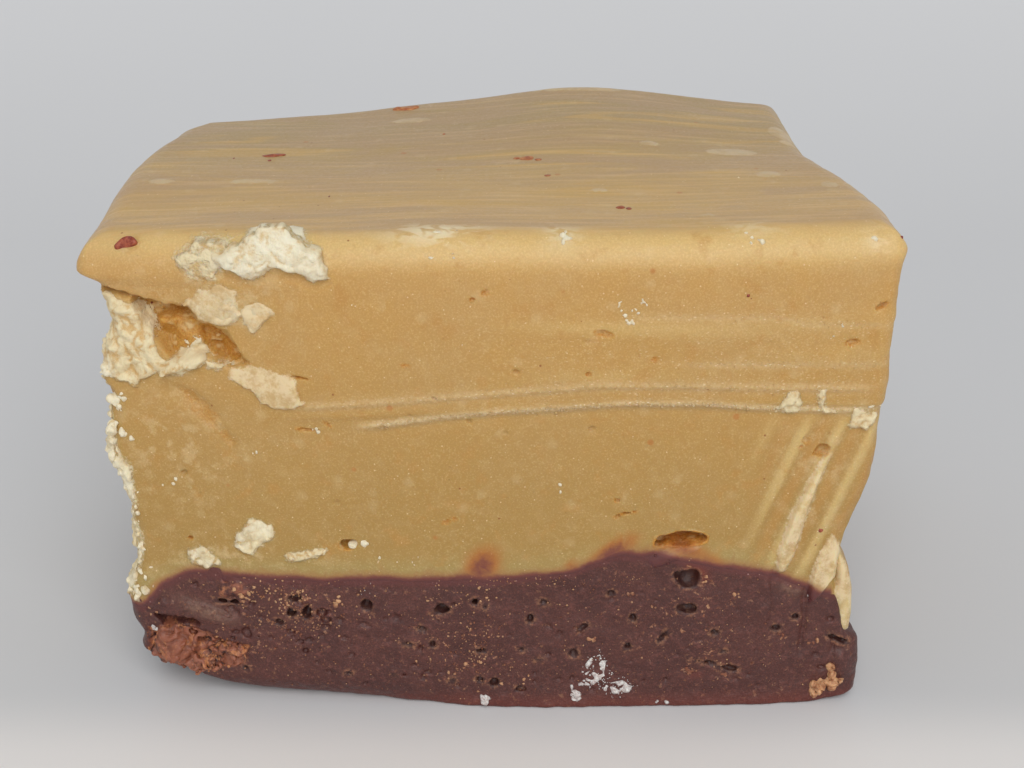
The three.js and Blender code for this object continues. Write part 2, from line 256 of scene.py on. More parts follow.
def crumbly(x, y, z):
    """Small rounded grains with creases between them, from 0 to about 1."""
    return 0.35 * np.abs(ROUGH(x, y, z)) + 0.5 * np.abs(GRIT(x, y, z)) + 0.5 * np.abs(FINE(x, y, z))


def ragged(x, z):
    """How far a torn edge on the front wanders, in millimetres."""
    front = level(x + z if x.ndim == 1 else x)
    return 0.34 * ROUGH(x, front, z) + 0.26 * GRIT(x, front, z) + 0.14 * FINE(x, front, z)


def above_seam(x, y, z):
    """Height above the wandering seam between the layers, which dips at the left front corner."""
    height = z - seam_height(x, y) + 1.1 * ramp(28, 30.5, -x) * (1 - ramp(4, 12, y))
    return height + 0.20 * LUMPY(x, y, z) + 0.16 * ROUGH(x, y, z) + 0.07 * GRIT(x, y, z)


# Shapes that are joined to or cut from a layer. Each gives a distance, less than nought inside.

class Blob:
    """An ellipsoid turned in the plane of the front, with a rough skin."""

    def __init__(self, centre, radii, turn=0.0, rough=0.0, noise=None):
        self.centre = np.asarray(centre, float)
        self.radii = np.asarray(radii, float)
        self.turn = math.radians(turn)
        self.rough = rough
        self.noise = noise or ROUGH
        self.reach = np.full(3, self.radii.max() + abs(rough) + 0.4)

    def distance(self, x, y, z):
        dx, dy, dz = x - self.centre[0], y - self.centre[1], z - self.centre[2]
        along = dx * math.cos(self.turn) + dz * math.sin(self.turn)
        across = dz * math.cos(self.turn) - dx * math.sin(self.turn)
        a, b, c = self.radii
        k0 = np.sqrt((along / a) ** 2 + (dy / b) ** 2 + (across / c) ** 2) + 1e-6
        k1 = np.sqrt((along / a ** 2) ** 2 + (dy / b ** 2) ** 2 + (across / c ** 2) ** 2) + 1e-6
        out = k0 * (k0 - 1) / k1
        if self.rough:
            out = out + self.rough * self.noise(x, y, z)
        return out


class Chunk:
    """A broken, many-sided crumb."""

    def __init__(self, centre, size, seed, rough=0.0, sides=9):
        rng = np.random.default_rng(seed)
        normals = rng.normal(size=(sides, 3))
        self.normals = normals / np.linalg.norm(normals, axis=1)[:, None]
        self.offsets = size * rng.uniform(0.5, 1.0, sides)
        self.stretch = rng.uniform(0.75, 1.3, 3)
        self.centre = np.asarray(centre, float)
        self.rough = rough
        self.reach = np.full(3, 1.6 * size + rough + 0.1)
        self.size = size

    def distance(self, x, y, z):
        away = (x - self.centre[0], y - self.centre[1], z - self.centre[2])
        dx, dy, dz = (v * s for v, s in zip(away, self.stretch))
        out = np.sqrt(dx ** 2 + dy ** 2 + dz ** 2) - 1.1 * self.size
        for (nx, ny, nz), offset in zip(self.normals, self.offsets):
            out = np.maximum(out, nx * dx + ny * dy + nz * dz - offset)
        if self.rough:
            out = out - self.rough * (crumbly(x, y, z) - 0.2)
        return out


class Slab:
    """A low piece with its own outline lying on the front. Fade thins it towards its upper side."""

    SUNK = 1.2

    def __init__(self, outline, out, soft, fade=0.0, wander=1.0):
        self.outline, self.out, self.soft, self.fade, self.wander = outline, out, soft, fade, wander
        self.low, self.high = np.min(outline, 0), np.max(outline, 0)
        middle, half = (self.low + self.high) / 2, (self.high - self.low) / 2
        self.centre = np.array([middle[0], front_y(*middle), middle[1]])
        self.reach = np.array([half[0] + 0.8, self.SUNK + out + 1.2, half[1] + 0.8])

    def distance(self, x, y, z):
        edge = outline_distance(self.outline, x, z) + self.wander * ragged(x, z)
        base = front_wall(x, z) - front_relief(x, z)
        thin = 1 - self.fade * ramp(self.low[1] * 0.6 + self.high[1] * 0.4, self.high[1], z)
        rise = self.out * thin * ramp(0, self.soft, -edge)
        return np.maximum(np.maximum(edge * 0.8, base - rise - y), y - base - self.SUNK)


def soft_min(a, b, blend):
    h = np.maximum(blend - np.abs(a - b), 0) / blend
    return np.minimum(a, b) - h * h * blend / 4


def nearest_of(shapes, x, y, z):
    """Distance from points to the nearest of some shapes, when that is small."""
    found = np.full(len(x), 3.0)
    for shape in shapes:
        near = np.abs(x - shape.centre[0]) < shape.reach[0]
        near &= (np.abs(y - shape.centre[1]) < shape.reach[1]) & (np.abs(z - shape.centre[2]) < shape.reach[2])
        near = np.flatnonzero(near)
        if len(near):
            found[near] = np.minimum(found[near], shape.distance(x[near], y[near], z[near]))
    return found


def round_max(a, b, radius):
    """The part inside both, with the edge between them rounded."""
    corner = np.sqrt(np.maximum(a + radius, 0) ** 2 + np.maximum(b + radius, 0) ** 2)
    return corner - radius + np.minimum(np.maximum(a, b) + radius, 0)


class Field:
    """Distances on grid lines, with shapes joined to and cut from them."""

    def __init__(self, x, y, z, values=None):
        self.lines = (x.ravel(), y.ravel(), z.ravel())
        shape = tuple(len(line) for line in self.lines)
        self.values = np.full(shape, 3.0, np.float32) if values is None else values.astype(np.float32)

    def apply(self, shapes, blend, sign):
        for shape in shapes:
            spans = tuple(slice(*np.searchsorted(line, [c - r, c + r]))
                          for line, c, r in zip(self.lines, shape.centre, shape.reach))
            x, y, z = (line[part] for line, part in zip(self.lines, spans))
            if min(len(x), len(y), len(z)) > 0:
                found = shape.distance(*on_grid(x, y, z))
                self.values[spans] = sign * soft_min(sign * self.values[spans], found, blend)

    def add(self, shapes, blend=0.2):
        self.apply(shapes, blend, 1)

    def cut(self, shapes, blend=0.2):
        self.apply(shapes, blend, -1)

    def front_at(self, x, z):
        """The first y along a line from in front that is inside, or None."""
        column = self.values[np.argmin(abs(self.lines[0] - x)), :, np.argmin(abs(self.lines[2] - z))]
        return self.crossing(self.lines[1], column)

    def top_at(self, x, y):
        """The first z along a line from above that is inside."""
        column = self.values[np.argmin(abs(self.lines[0] - x)), np.argmin(abs(self.lines[1] - y))]
        return self.crossing(self.lines[2][::-1], column[::-1])

    @staticmethod
    def crossing(line, column):
        k = int(np.argmax(column < 0))
        if k == 0:
            return None
        outer, inner = column[k - 1], column[k]
        return float(line[k - 1] + (line[k] - line[k - 1]) * outer / (outer - inner))

    def mesh(self):
        """Points in millimetres and four-sided faces of the surface."""
        grid = openvdb.FloatGrid(3.0)
        grid.copyFromArray(np.clip(self.values, -3.0, 3.0))
        points, quads = grid.convertToQuads(0.0)
        placed = [np.interp(points[:, axis], np.arange(len(line)), line) for axis, line in enumerate(self.lines)]
        return np.stack(placed, 1), quads.astype(np.int32)


def lines(start, end, step, fine_from=0.0, fine_to=0.0):
    """Grid lines a step apart, closer together over one stretch."""
    line = [start]
    while line[-1] < end:
        line.append(line[-1] + (FINE_STEP if fine_from <= line[-1] < fine_to else step))
    return np.array(line)


def on_grid(x, y, z):
    return x[:, None, None], y[None, :, None], z[None, None, :]


# Blender meshes

def new_piece(name, parts, most_faces, material):
    """One smooth mesh object from parts in millimetres, brought under a number of triangles."""
    points = np.concatenate([part[0] for part in parts])
    starts = np.cumsum([0] + [len(part[0]) for part in parts[:-1]])
    quads = np.concatenate([part[1] + start for part, start in zip(parts, starts)]).astype(np.int32)
    mesh = bpy.data.meshes.new(name)
    mesh.vertices.add(len(points))
    mesh.vertices.foreach_set("co", ((points - MIDDLE) * MM).astype(np.float32).ravel())
    mesh.loops.add(quads.size)
    mesh.loops.foreach_set("vertex_index", quads.ravel())
    mesh.polygons.add(len(quads))
    mesh.polygons.foreach_set("loop_start", np.arange(0, quads.size, 4, dtype=np.int32))
    mesh.update(calc_edges=True)
    mesh.validate()
    piece = bpy.data.objects.new(name, mesh)
    bpy.context.scene.collection.objects.link(piece)
    if 2 * len(quads) > most_faces:
        fewer = piece.modifiers.new("fewer faces", "DECIMATE")
        fewer.ratio = most_faces / (2 * len(quads))
        seen = piece.evaluated_get(bpy.context.evaluated_depsgraph_get())
        thin = bpy.data.meshes.new_from_object(seen)
        piece.modifiers.clear()
        piece.data = thin
        thin.name = name
    piece.data.polygons.foreach_set("use_smooth", np.full(len(piece.data.polygons), True))
    piece.data.materials.append(material)
    return piece


def places(piece):
    """The piece's points, in millimetres."""
    flat = np.empty(len(piece.data.vertices) * 3, np.float32)
    piece.data.vertices.foreach_get("co", flat)
    return flat.reshape(-1, 3) / MM + MIDDLE


def paint(piece, name, *masks):
    """Up to four soft masks, kept at the points under one name."""
    table = np.zeros((len(piece.data.vertices), 4), np.float32)
    for column, mask in enumerate(masks):
        table[:, column] = np.clip(mask, 0, 1)
    layer = piece.data.attributes.new(name, "FLOAT_COLOR", "POINT")
    layer.data.foreach_set("color", table.ravel())


def put(piece, replaced=None):
    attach(piece, "root")
    if replaced:
        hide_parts(replaced)


def front_y(x, z):
    """Where the front wall is, before its relief."""
    return float(front_wall(np.float64(x), np.float64(z)))


def on_front(x, z, out=0.0):
    return x, front_y(x, z) - out, z


def on_back(x, z):
    return x, float(back_wall(np.float64(x), np.float64(z))), z


def on_left(y, z):
    return float(left_wall(y, z)), y, z


def on_right(y, z):
    return float(right_wall(y, z)), y, z


def coded(distance):
    """A distance kept as a mask that is a half on the edge, so that a material can cut it sharp again."""
    return np.clip(0.5 - distance / 1.2, 0, 1)


def scattered_pits(count, seed, place, low, high, radii):
    """Small bubble holes spread over a wall: place gives a point from two numbers."""
    rng = np.random.default_rng(seed)
    pits = []
    for _ in range(count):
        u, v = rng.uniform(low[0], high[0]), rng.uniform(low[1], high[1])
        r = rng.uniform(*radii) * rng.uniform(0.5, 1.0)
        size = (r * rng.uniform(0.9, 1.8), r * rng.uniform(0.7, 1.3), r)
        pits.append(Blob(place(u, v), size, rng.uniform(-25, 25), 0.5 * r, GRIT))
    return pits


# Outlines on the front, as x and z

MASS = [(-30.4, 36.8), (-28.2, 36.1), (-27.0, 34.4), (-26.2, 32.2), (-25.7, 30.7), (-27.0, 29.7), (-28.4, 29.0),
        (-30.2, 29.2), (-31.5, 30.4), (-31.7, 33.5), (-31.2, 36.2)]
LEDGE = [(-27.4, 30.2), (-25.9, 31.3), (-24.9, 31.9), (-23.0, 32.2), (-22.6, 31.7), (-24.0, 30.5), (-26.2, 29.7)]
LEDGE_END = [(-22.7, 31.5), (-21.1, 31.2), (-21.8, 30.8), (-22.6, 31.0)]
FLAKE = [(-20.9, 30.8), (-18.7, 31.1), (-15.6, 30.3), (-15.2, 28.2), (-17.2, 27.7), (-18.6, 28.0), (-19.2, 29.0),
         (-21.0, 30.1)]
PATCH_ONE = [(-24.2, 35.9), (-22.8, 37.2), (-21.0, 38.0), (-20.0, 37.3), (-19.6, 35.4), (-21.2, 34.3), (-24.0, 35.2)]
PATCH_TWO = [(-19.6, 35.8), (-18.2, 36.3), (-17.0, 35.8), (-18.3, 35.0), (-18.8, 34.2), (-19.4, 34.7)]
BRIGHT = [(-21.3, 40.0), (-18.9, 41.2), (-17.8, 42.5), (-15.4, 42.5), (-14.3, 41.2), (-13.2, 40.6), (-12.8, 38.7),
          (-13.8, 38.4), (-15.0, 39.1), (-16.2, 39.4), (-17.4, 39.2), (-18.6, 38.5), (-19.5, 38.5), (-21.3, 39.3)]
TAIL = [(-24.6, 39.7), (-22.6, 41.0), (-20.6, 40.9), (-20.4, 39.4), (-21.6, 38.5), (-23.4, 38.4)]
HOLLOW = [(-30.4, 37.2), (-27.8, 36.3), (-26.2, 35.9), (-23.9, 35.7), (-23.2, 34.8), (-21.2, 34.0), (-19.7, 31.5),
          (-21.1, 31.2), (-23.0, 32.2), (-25.6, 31.6), (-26.6, 32.6), (-27.7, 35.2), (-28.8, 36.8), (-30.6, 36.7)]
CRACK = [(-30.8, 37.2), (-28.2, 36.7), (-26.2, 35.9), (-26.2, 34.9), (-26.7, 34.4), (-26.3, 32.8), (-26.8, 33.5),
         (-27.7, 35.2), (-28.4, 36.2), (-31.0, 36.7)]
DEEP_ONE = [(-26.2, 35.8), (-24.5, 36.0), (-23.7, 34.8), (-26.0, 34.9)]
DEEP_TWO = [(-23.0, 33.9), (-21.6, 33.7), (-20.2, 31.9), (-21.4, 31.5), (-22.4, 32.3)]
GROOVE = [(-25.4, 29.2), (-23.9, 28.5), (-20.8, 24.6), (-21.4, 24.2), (-23.4, 26.4)]
RIDGE_ONE = [(26.6, 23.8), (25.8, 21.3), (25.1, 18.6), (24.7, 16.4), (24.1, 14.4), (23.6, 12.9), (22.7, 12.9),
             (22.8, 14.8), (23.4, 17.8), (24.6, 21.0), (26.0, 23.9)]
RIDGE_TWO = [(26.2, 14.8), (27.2, 16.4), (28.0, 15.4), (28.0, 13.4), (27.9, 12.2), (27.3, 11.3), (26.8, 10.6),
             (26.2, 10.0), (25.8, 9.6), (25.6, 10.8), (25.7, 12.6)]
RIDGES_UNDER = [(22.3, 13.4), (23.0, 17.0), (25.4, 22.6), (28.4, 20.0), (28.6, 14.0), (27.4, 12.4), (25.4, 12.3)]
TONGUE = [(28.0, 14.6), (28.6, 13.6), (29.1, 12.7), (29.6, 10.7), (29.8, 8.3), (29.7, 6.6), (29.0, 6.3),
          (28.4, 6.9), (28.0, 7.6), (27.9, 9.0), (28.1, 11.4)]
SEAM_SCRAPS = [[(-25.7, 14.3), (-24.6, 14.9), (-23.9, 14.4), (-23.3, 13.4), (-24.4, 12.7), (-25.3, 13.1)],
               [(-21.4, 16.2), (-19.8, 17.6), (-18.5, 17.4), (-18.6, 16.2), (-20.3, 14.6), (-21.7, 15.0)],
               [(-17.4, 14.5), (-15.8, 15.1), (-14.0, 15.4), (-14.2, 14.6), (-17.1, 13.9)]]
KNIFE_SCRAPS = [[(21.9, 28.0), (22.6, 29.6), (23.4, 29.4), (23.3, 27.7)],
                [(24.8, 28.0), (25.0, 29.6), (25.6, 29.6), (25.7, 28.1), (26.6, 27.3), (25.4, 27.2)],
                [(27.2, 26.0), (28.0, 27.3), (29.6, 26.9), (29.3, 25.7)]]
SLOPE = [(12.0, 14.3), (13.2, 15.4), (15.2, 15.6), (16.7, 15.7), (15.4, 14.8), (13.8, 13.9), (12.6, 13.5)]
CHIP = [(-30.0, 6.4), (-26.2, 7.0), (-23.4, 5.9), (-21.3, 5.4), (-21.9, 3.7), (-24.2, 3.0), (-26.3, 1.8),
        (-29.4, 2.0), (-30.4, 3.6)]
CHIP_BLOCK = [(-29.0, 6.7), (-26.3, 6.6), (-25.6, 5.2), (-26.2, 4.0), (-27.6, 3.0), (-28.8, 2.8), (-29.7, 3.9),
              (-29.4, 5.4)]
CHIP_FLAKE = [(-30.6, 9.2), (-26.6, 10.2), (-23.8, 9.4), (-22.0, 8.0), (-22.7, 7.1), (-26.2, 7.7), (-29.0, 7.8)]
CHIP_SLIT = [(-29.2, 7.7), (-26.0, 7.9), (-25.4, 7.2), (-28.6, 6.8)]
SMEARS = [[(7.3, 3.2), (7.8, 4.9), (8.5, 5.4), (8.9, 3.8), (9.2, 3.1), (8.1, 2.1), (7.3, 2.2)],
          [(9.1, 2.6), (10.3, 2.7), (11.5, 2.2), (11.1, 1.6), (9.7, 1.3), (9.0, 1.8)]]

# Lines that the knife left, as x and z
MAIN_LINE = [(-10.5, 26.4), (-3.5, 27.4), (0.1, 27.8), (5.8, 28.1), (9.6, 28.4), (15.7, 28.4), (21.5, 27.9), (29.9, 27.4)]
UPPER_LINE = [(-15.5, 27.9), (-11.3, 28.3), (-3.7, 29.1), (7.7, 30.0), (14.9, 30.0), (29.0, 29.4)]
HIGH_LINE = [(10.0, 35.7), (21.0, 35.6), (23.6, 34.9), (30.5, 34.6)]
MID_LINE = [(14.0, 31.8), (23.1, 31.6), (30.5, 31.3)]

# Pale flakes set in the top, as x, y, half length and half width
TOP_FLAKES = [(20.5, 23.7, 2.4, 1.2), (22.8, 16.2, 1.1, 0.7), (-21.0, 16.4, 1.9, 0.6), (-28.5, 16.4, 1.2, 0.7),
              (-8.9, 36.4, 2.0, 0.8), (13.4, 25.5, 0.9, 0.6), (8.3, 12.6, 0.8, 0.5), (16.1, 5.1, 0.6, 0.3),
              (27.2, 12.9, 0.7, 0.8), (26.6, 31.2, 1.4, 2.2), (8.0, 43.6, 4.6, 0.9), (26.5, 27.9, 0.8, 0.7)]


def line_height(line, x):
    return np.interp(x, [p[0] for p in line], [p[1] for p in line])


def along_line(line, x, z, width, fade=1.5):
    """Soft band along a line, fading at both ends."""
    ends = ramp(line[0][0] - fade, line[0][0] + fade, x) * (1 - ramp(line[-1][0] - fade, line[-1][0] + fade, x))
    return ends * bump(z, line_height(line, x), width)


def edge_of(outlines, x, z, wander):
    """Distance to the nearest of some outlines with torn edges."""
    return np.min([outline_distance(outline, x, z) for outline in outlines], 0) + wander


def drag_across(x, z):
    """Distance across the knife's slanting pull at the right of the front."""
    angle = math.radians(69)
    return z * math.cos(angle) - x * math.sin(angle)


def knife_band(x, z):
    """Where the knife dragged level lines across the upper right of the front."""
    return ramp(-8, 8, x) * ramp(27.3, 28.6, z) * (1 - ramp(34.5, 38, z))


# Relief of the walls, as heights outwards, for both layers together so that they meet along the seam

def peanut_front(x, z, wander):
    front = level(x)
    rough, grit = ROUGH(x, front, z), GRIT(x, front, z)
    out = 0.13 * WAVES(x, front, z) + 0.07 * LUMPY(x, front, z) + 0.02 * rough + 0.012 * grit
    out = out + knife_band(x, z) * (0.05 * KNIFE(x, front, z) + 0.03 * FINE_KNIFE(x, front, z) + 0.02 * grit)
    out += 0.13 * along_line(MAIN_LINE, x, z, 0.25) * (1 + 0.9 * rough) - 0.08 * along_line(MAIN_LINE, x, z + 0.55, 0.3)
    out += 0.07 * along_line(UPPER_LINE, x, z, 0.2) - 0.07 * along_line(UPPER_LINE, x, z + 0.4, 0.25)
    out -= 0.06 * along_line(HIGH_LINE, x, z, 0.16) + 0.05 * along_line(MID_LINE, x, z, 0.16)
    pull = ramp(19, 24, x) * (1 - ramp(25.5, 28, z))
    across = drag_across(x, z)
    out += pull * (0.08 * np.sin(2.3 * across) + 0.05 * np.sin(5.1 * across + 1.0))
    shape = 1 - ramp(-0.3, 0.3, outline_distance(HOLLOW, x, z) + wander)
    out -= shape * (1.0 + 0.5 * rough + 0.35 * grit)
    out -= 0.9 * (1 - ramp(-0.2, 0.2, outline_distance(CRACK, x, z) + 0.6 * wander))
    for outline in (DEEP_ONE, DEEP_TWO):
        out -= 0.8 * (1 - ramp(-0.3, 0.3, outline_distance(outline, x, z) + wander))
    out -= 0.3 * (1 - ramp(-0.7, 0.7, outline_distance(GROOVE, x, z) + wander))
    lumps = 1 - ramp(-1.1, 0.3, outline_distance(MASS, x, z) + wander)
    out += lumps * (0.05 + 0.3 * rough + 0.2 * grit)
    out += 0.25 * (1 - ramp(-1.4, 0.2, outline_distance(RIDGES_UNDER, x, z)))
    out -= 0.25 * spot(x, z, -24.5, 28.4, 2.6, 0.7, -24)
    shadowed = outline_distance(BRIGHT, x, z + 0.45)
    return out - 0.22 * (1 - ramp(-0.2, 0.6, shadowed)) * (1 - ramp(38.4, 39.6, z))


def chocolate_front(x, z, wander):
    front = level(x)
    out = wall_grain(x, front, z, 1.0)
    out -= 1.1 * (1 - ramp(-0.2, 0.2, outline_distance(CHIP_SLIT, x, z) + 0.6 * wander))
    rough = 0.45 + 0.5 * ROUGH(x, front, z) + 0.4 * GRIT(x, front, z)
    out -= (1 - ramp(-0.4, 0.4, outline_distance(CHIP, x, z) + wander)) * rough
    out += 0.5 * (1 - ramp(-0.5, 0.1, outline_distance(CHIP_BLOCK, x, z) + 0.5 * wander))
    out += 0.3 * (1 - ramp(-0.8, 0.2, outline_distance(CHIP_FLAKE, x, z) + wander))
    out -= 0.30 * bump(x, 25.5 + 0.1 * np.sin(z), 0.22) * ramp(4.5, 6, z) * (1 - ramp(10.5, 12, z))
    out -= 0.8 * bump(x, 28.3, 0.16) * ramp(0.8, 2.0, z) * (1 - ramp(5.5, 6.5, z)) * 0.4
    step = (1 - ramp(-0.1, 0.3, x - 22.4 - 0.1 * np.sin(2 * z))) * ramp(20.5, 22.4, x)
    return out + 0.3 * step * ramp(6, 9, z)


def wall_grain(x, y, z, crumbs):
    """Lumps and grit of a broken wall."""
    grit = 0.09 * ROUGH(x, y, z) + 0.08 * GRIT(x, y, z) + 0.03 * FINE(x, y, z)
    return 0.13 * WAVES(x, y, z) + 0.10 * LUMPY(x, y, z) + crumbs * grit


def by_layer(x, y, z, low, high):
    """The chocolate's relief below the seam and the peanut butter's above it."""
    part = ramp(-1.0, 1.0, z - seam_height(x, y))
    return low + (high - low) * part


def front_relief(x, z):
    wander = ragged(x, z)
    return by_layer(x, level(x, 1.0), z, chocolate_front(x, z, wander), peanut_front(x, z, wander))


def back_relief(x, z):
    back = level(x, 40.0)
    high = wall_grain(x, back, z, 0.4) + 0.05 * KNIFE(x, back, z)
    return by_layer(x, back, z, wall_grain(x, back, z, 1.0), high)


def side_relief(y, z, place, crumbs):
    side = level(y, place)
    high = 0.1 * WAVES(side, y, z) + wall_grain(side, y, z, crumbs)
    return by_layer(side, y, z, wall_grain(side, y, z, 1.2), high)


def left_relief(y, z):
    """The torn left-hand side, drawn in where crumbs stand out from it."""
    near = 1 - ramp(4, 14, y)
    drawn = 0.1 * ramp(8, 12, z) + 0.9 * bump(z, 27.0, 1.9) + 0.6 * bump(z, 12.3, 1.3)
    drawn = near * (drawn + 0.45 * bump(z, 33.0, 2.0) + 0.6 * bump(z, 5.6, 1.0))
    return side_relief(y, z, -31.0, (1.7 + 1.0 * near) * (1 - 0.8 * ramp(36.2, 37.4, z))) - drawn


def right_relief(y, z):
    near = 1 - ramp(5, 12, y)
    return side_relief(y, z, 30.0, 0.8) - near * 1.0 * ramp(5.6, 6.6, z) * (1 - ramp(12.0, 15.0, z))


def top_relief(x, y):
    top = level(x, 42.0)
    swirl = np.sin(0.42 * y + 2.2 * bump(x, -8, 14) + 0.6 * np.sin(0.13 * x))
    out = 0.08 * swirl * ramp(3, 9, y) + 0.22 * WAVES(x, y, top) + 0.03 * LUMPY(x, y, top) + 0.008 * ROUGH(x, y, top)
    for place_x, place_y, half_length, half_width in TOP_FLAKES:
        out = out + 0.08 * (1 - ramp(0.6, 1.1, np.hypot((x - place_x) / half_length, (y - place_y) / half_width)))
    return out


def walls(x, y, z):
    """Distances to the four upright walls, with the edges between them rounded."""
    fore = front_wall(x, z) - front_relief(x, z) - y
    rear = y - back_wall(x, z) - back_relief(x, z)
    west = left_wall(y, z) - left_relief(y, z) - x
    east = x - right_wall(y, z) - right_relief(y, z)
    ends = np.maximum(west, east).astype(np.float32)
    return round_max(ends, np.maximum(fore, rear).astype(np.float32), UPRIGHT_EDGE_RADIUS)


# Each layer reaches a little past the seam inside the other, and stands a hair proud on its own side of it.
SEAM_LAP = 0.8
SEAM_STEP = 0.03


# Peanut butter layer

# Bubble holes in the front: x, z, half width, depth, half height and turn
PEANUT_HOLES = [
    (14.9, 16.3, 2.0, 1.7, 0.60, 1), (13.3, 16.0, 0.8, 1.4, 0.40, 25), (-12.4, 15.7, 0.75, 1.3, 0.55, 8),
    (24.3, 24.95, 0.45, 0.5, 0.60, 25), (24.0, 24.4, 0.35, 0.4, 0.3, 0), (25.6, 24.0, 0.75, 0.7, 0.50, 30),
    (10.4, 18.75, 0.75, 0.4, 0.13, 12), (9.6, 18.5, 0.35, 0.3, 0.12, 40), (9.5, 19.9, 0.22, 0.3, 0.18, 0),
    (8.1, 34.3, 0.75, 0.35, 0.26, -12), (12.0, 32.2, 0.26, 0.3, 0.2, 0), (27.2, 33.3, 0.60, 0.35, 0.24, 10),
    (-1.0, 37.6, 0.34, 0.25, 0.2, 20), (-1.9, 37.1, 0.22, 0.25, 0.14, 0), (6.9, 31.0, 0.26, 0.25, 0.2, 0),
    (-4.2, 17.9, 0.4, 0.3, 0.2, 20), (-3.6, 18.2, 0.3, 0.3, 0.2, 0), (-25.4, 15.6, 0.22, 0.3, 0.2, 0),
    (-15.4, 30.45, 0.8, 0.35, 0.10, -8), (-15.2, 25.95, 0.8, 0.35, 0.14, -6), (-13.4, 26.5, 0.4, 0.3, 0.14, -35),
    (29.2, 36.2, 0.6, 0.4, 0.2, 30), (-7.1, 31.7, 0.35, 0.2, 0.1, 0), (-23.6, 12.4, 0.55, 0.8, 0.5, 10),
]
# Raised pieces: outline, height, softness of the edge, thinning upwards and wander of the edge
SLABS = [(LEDGE, 0.55, 0.5, 0.3, 1), (LEDGE_END, 0.3, 0.3, 0, 1), (FLAKE, 0.34, 0.12, 0.9, 0.6),
         (PATCH_ONE, 0.26, 0.25, 0.9, 1), (PATCH_TWO, 0.2, 0.2, 0.8, 1), (BRIGHT, 0.4, 0.3, 0.7, 0.9),
         (TAIL, 0.14, 0.5, 0.9, 1), (RIDGE_ONE, 0.5, 0.35, 0.5, 0.25), (RIDGE_TWO, 0.6, 0.4, 0.7, 0.3),
         (SLOPE, 0.25, 0.5, 0.6, 0.4)]


def peanut_holes():
    return [Blob(on_front(x, z), (wide, deep, high), turn, 0.2 * min(1, 2 * high), GRIT)
            for x, z, wide, deep, high, turn in PEANUT_HOLES]


class Tongue:
    """Peanut butter smeared down over the chocolate at the front of the right-hand side."""

    centre = np.array([28.8, 3.0, 10.0])
    reach = np.array([3.0, 3.6, 5.4])

    @staticmethod
    def distance(x, y, z):
        across = outline_distance(TONGUE, x - 0.06 * (y - 1.5), z)
        return round_max(across, np.abs(y - 3.2) - 1.9, 0.8) + 0.05 * LUMPY(x, y, z)


def peanut_butter_field(x, y, z):
    top = (top_height(x, y) + top_relief(x, y)).astype(np.float32)
    values = round_max(walls(x, y, z), z.astype(np.float32) - top, TOP_EDGE_RADIUS)
    above = above_seam(x, y, z)
    values = np.maximum(values - SEAM_STEP * np.clip(above / 0.4, -1, 1), -SEAM_LAP - above)
    field = Field(x, y, z, values)
    field.add([Slab(*row) for row in SLABS], 0.08)
    field.add([Slab(outline, 0.25, 0.3, 0.5) for outline in SEAM_SCRAPS + KNIFE_SCRAPS], 0.1)
    field.add([Tongue], 0.25)
    field.cut(peanut_holes(), 0.06)
    field.cut(scattered_pits(50, 31, on_front, (-26, 16), (27, 40), (0.12, 0.24)), 0.06)
    field.cut(scattered_pits(46, 32, on_back, (-30, 15), (27, 38), (0.3, 0.8)), 0.2)
    field.cut(scattered_pits(30, 33, on_left, (4, 14), (38, 36), (0.3, 0.9)), 0.2)
    field.cut(scattered_pits(26, 34, on_right, (5, 16), (42, 36), (0.3, 0.8)), 0.2)
    return field


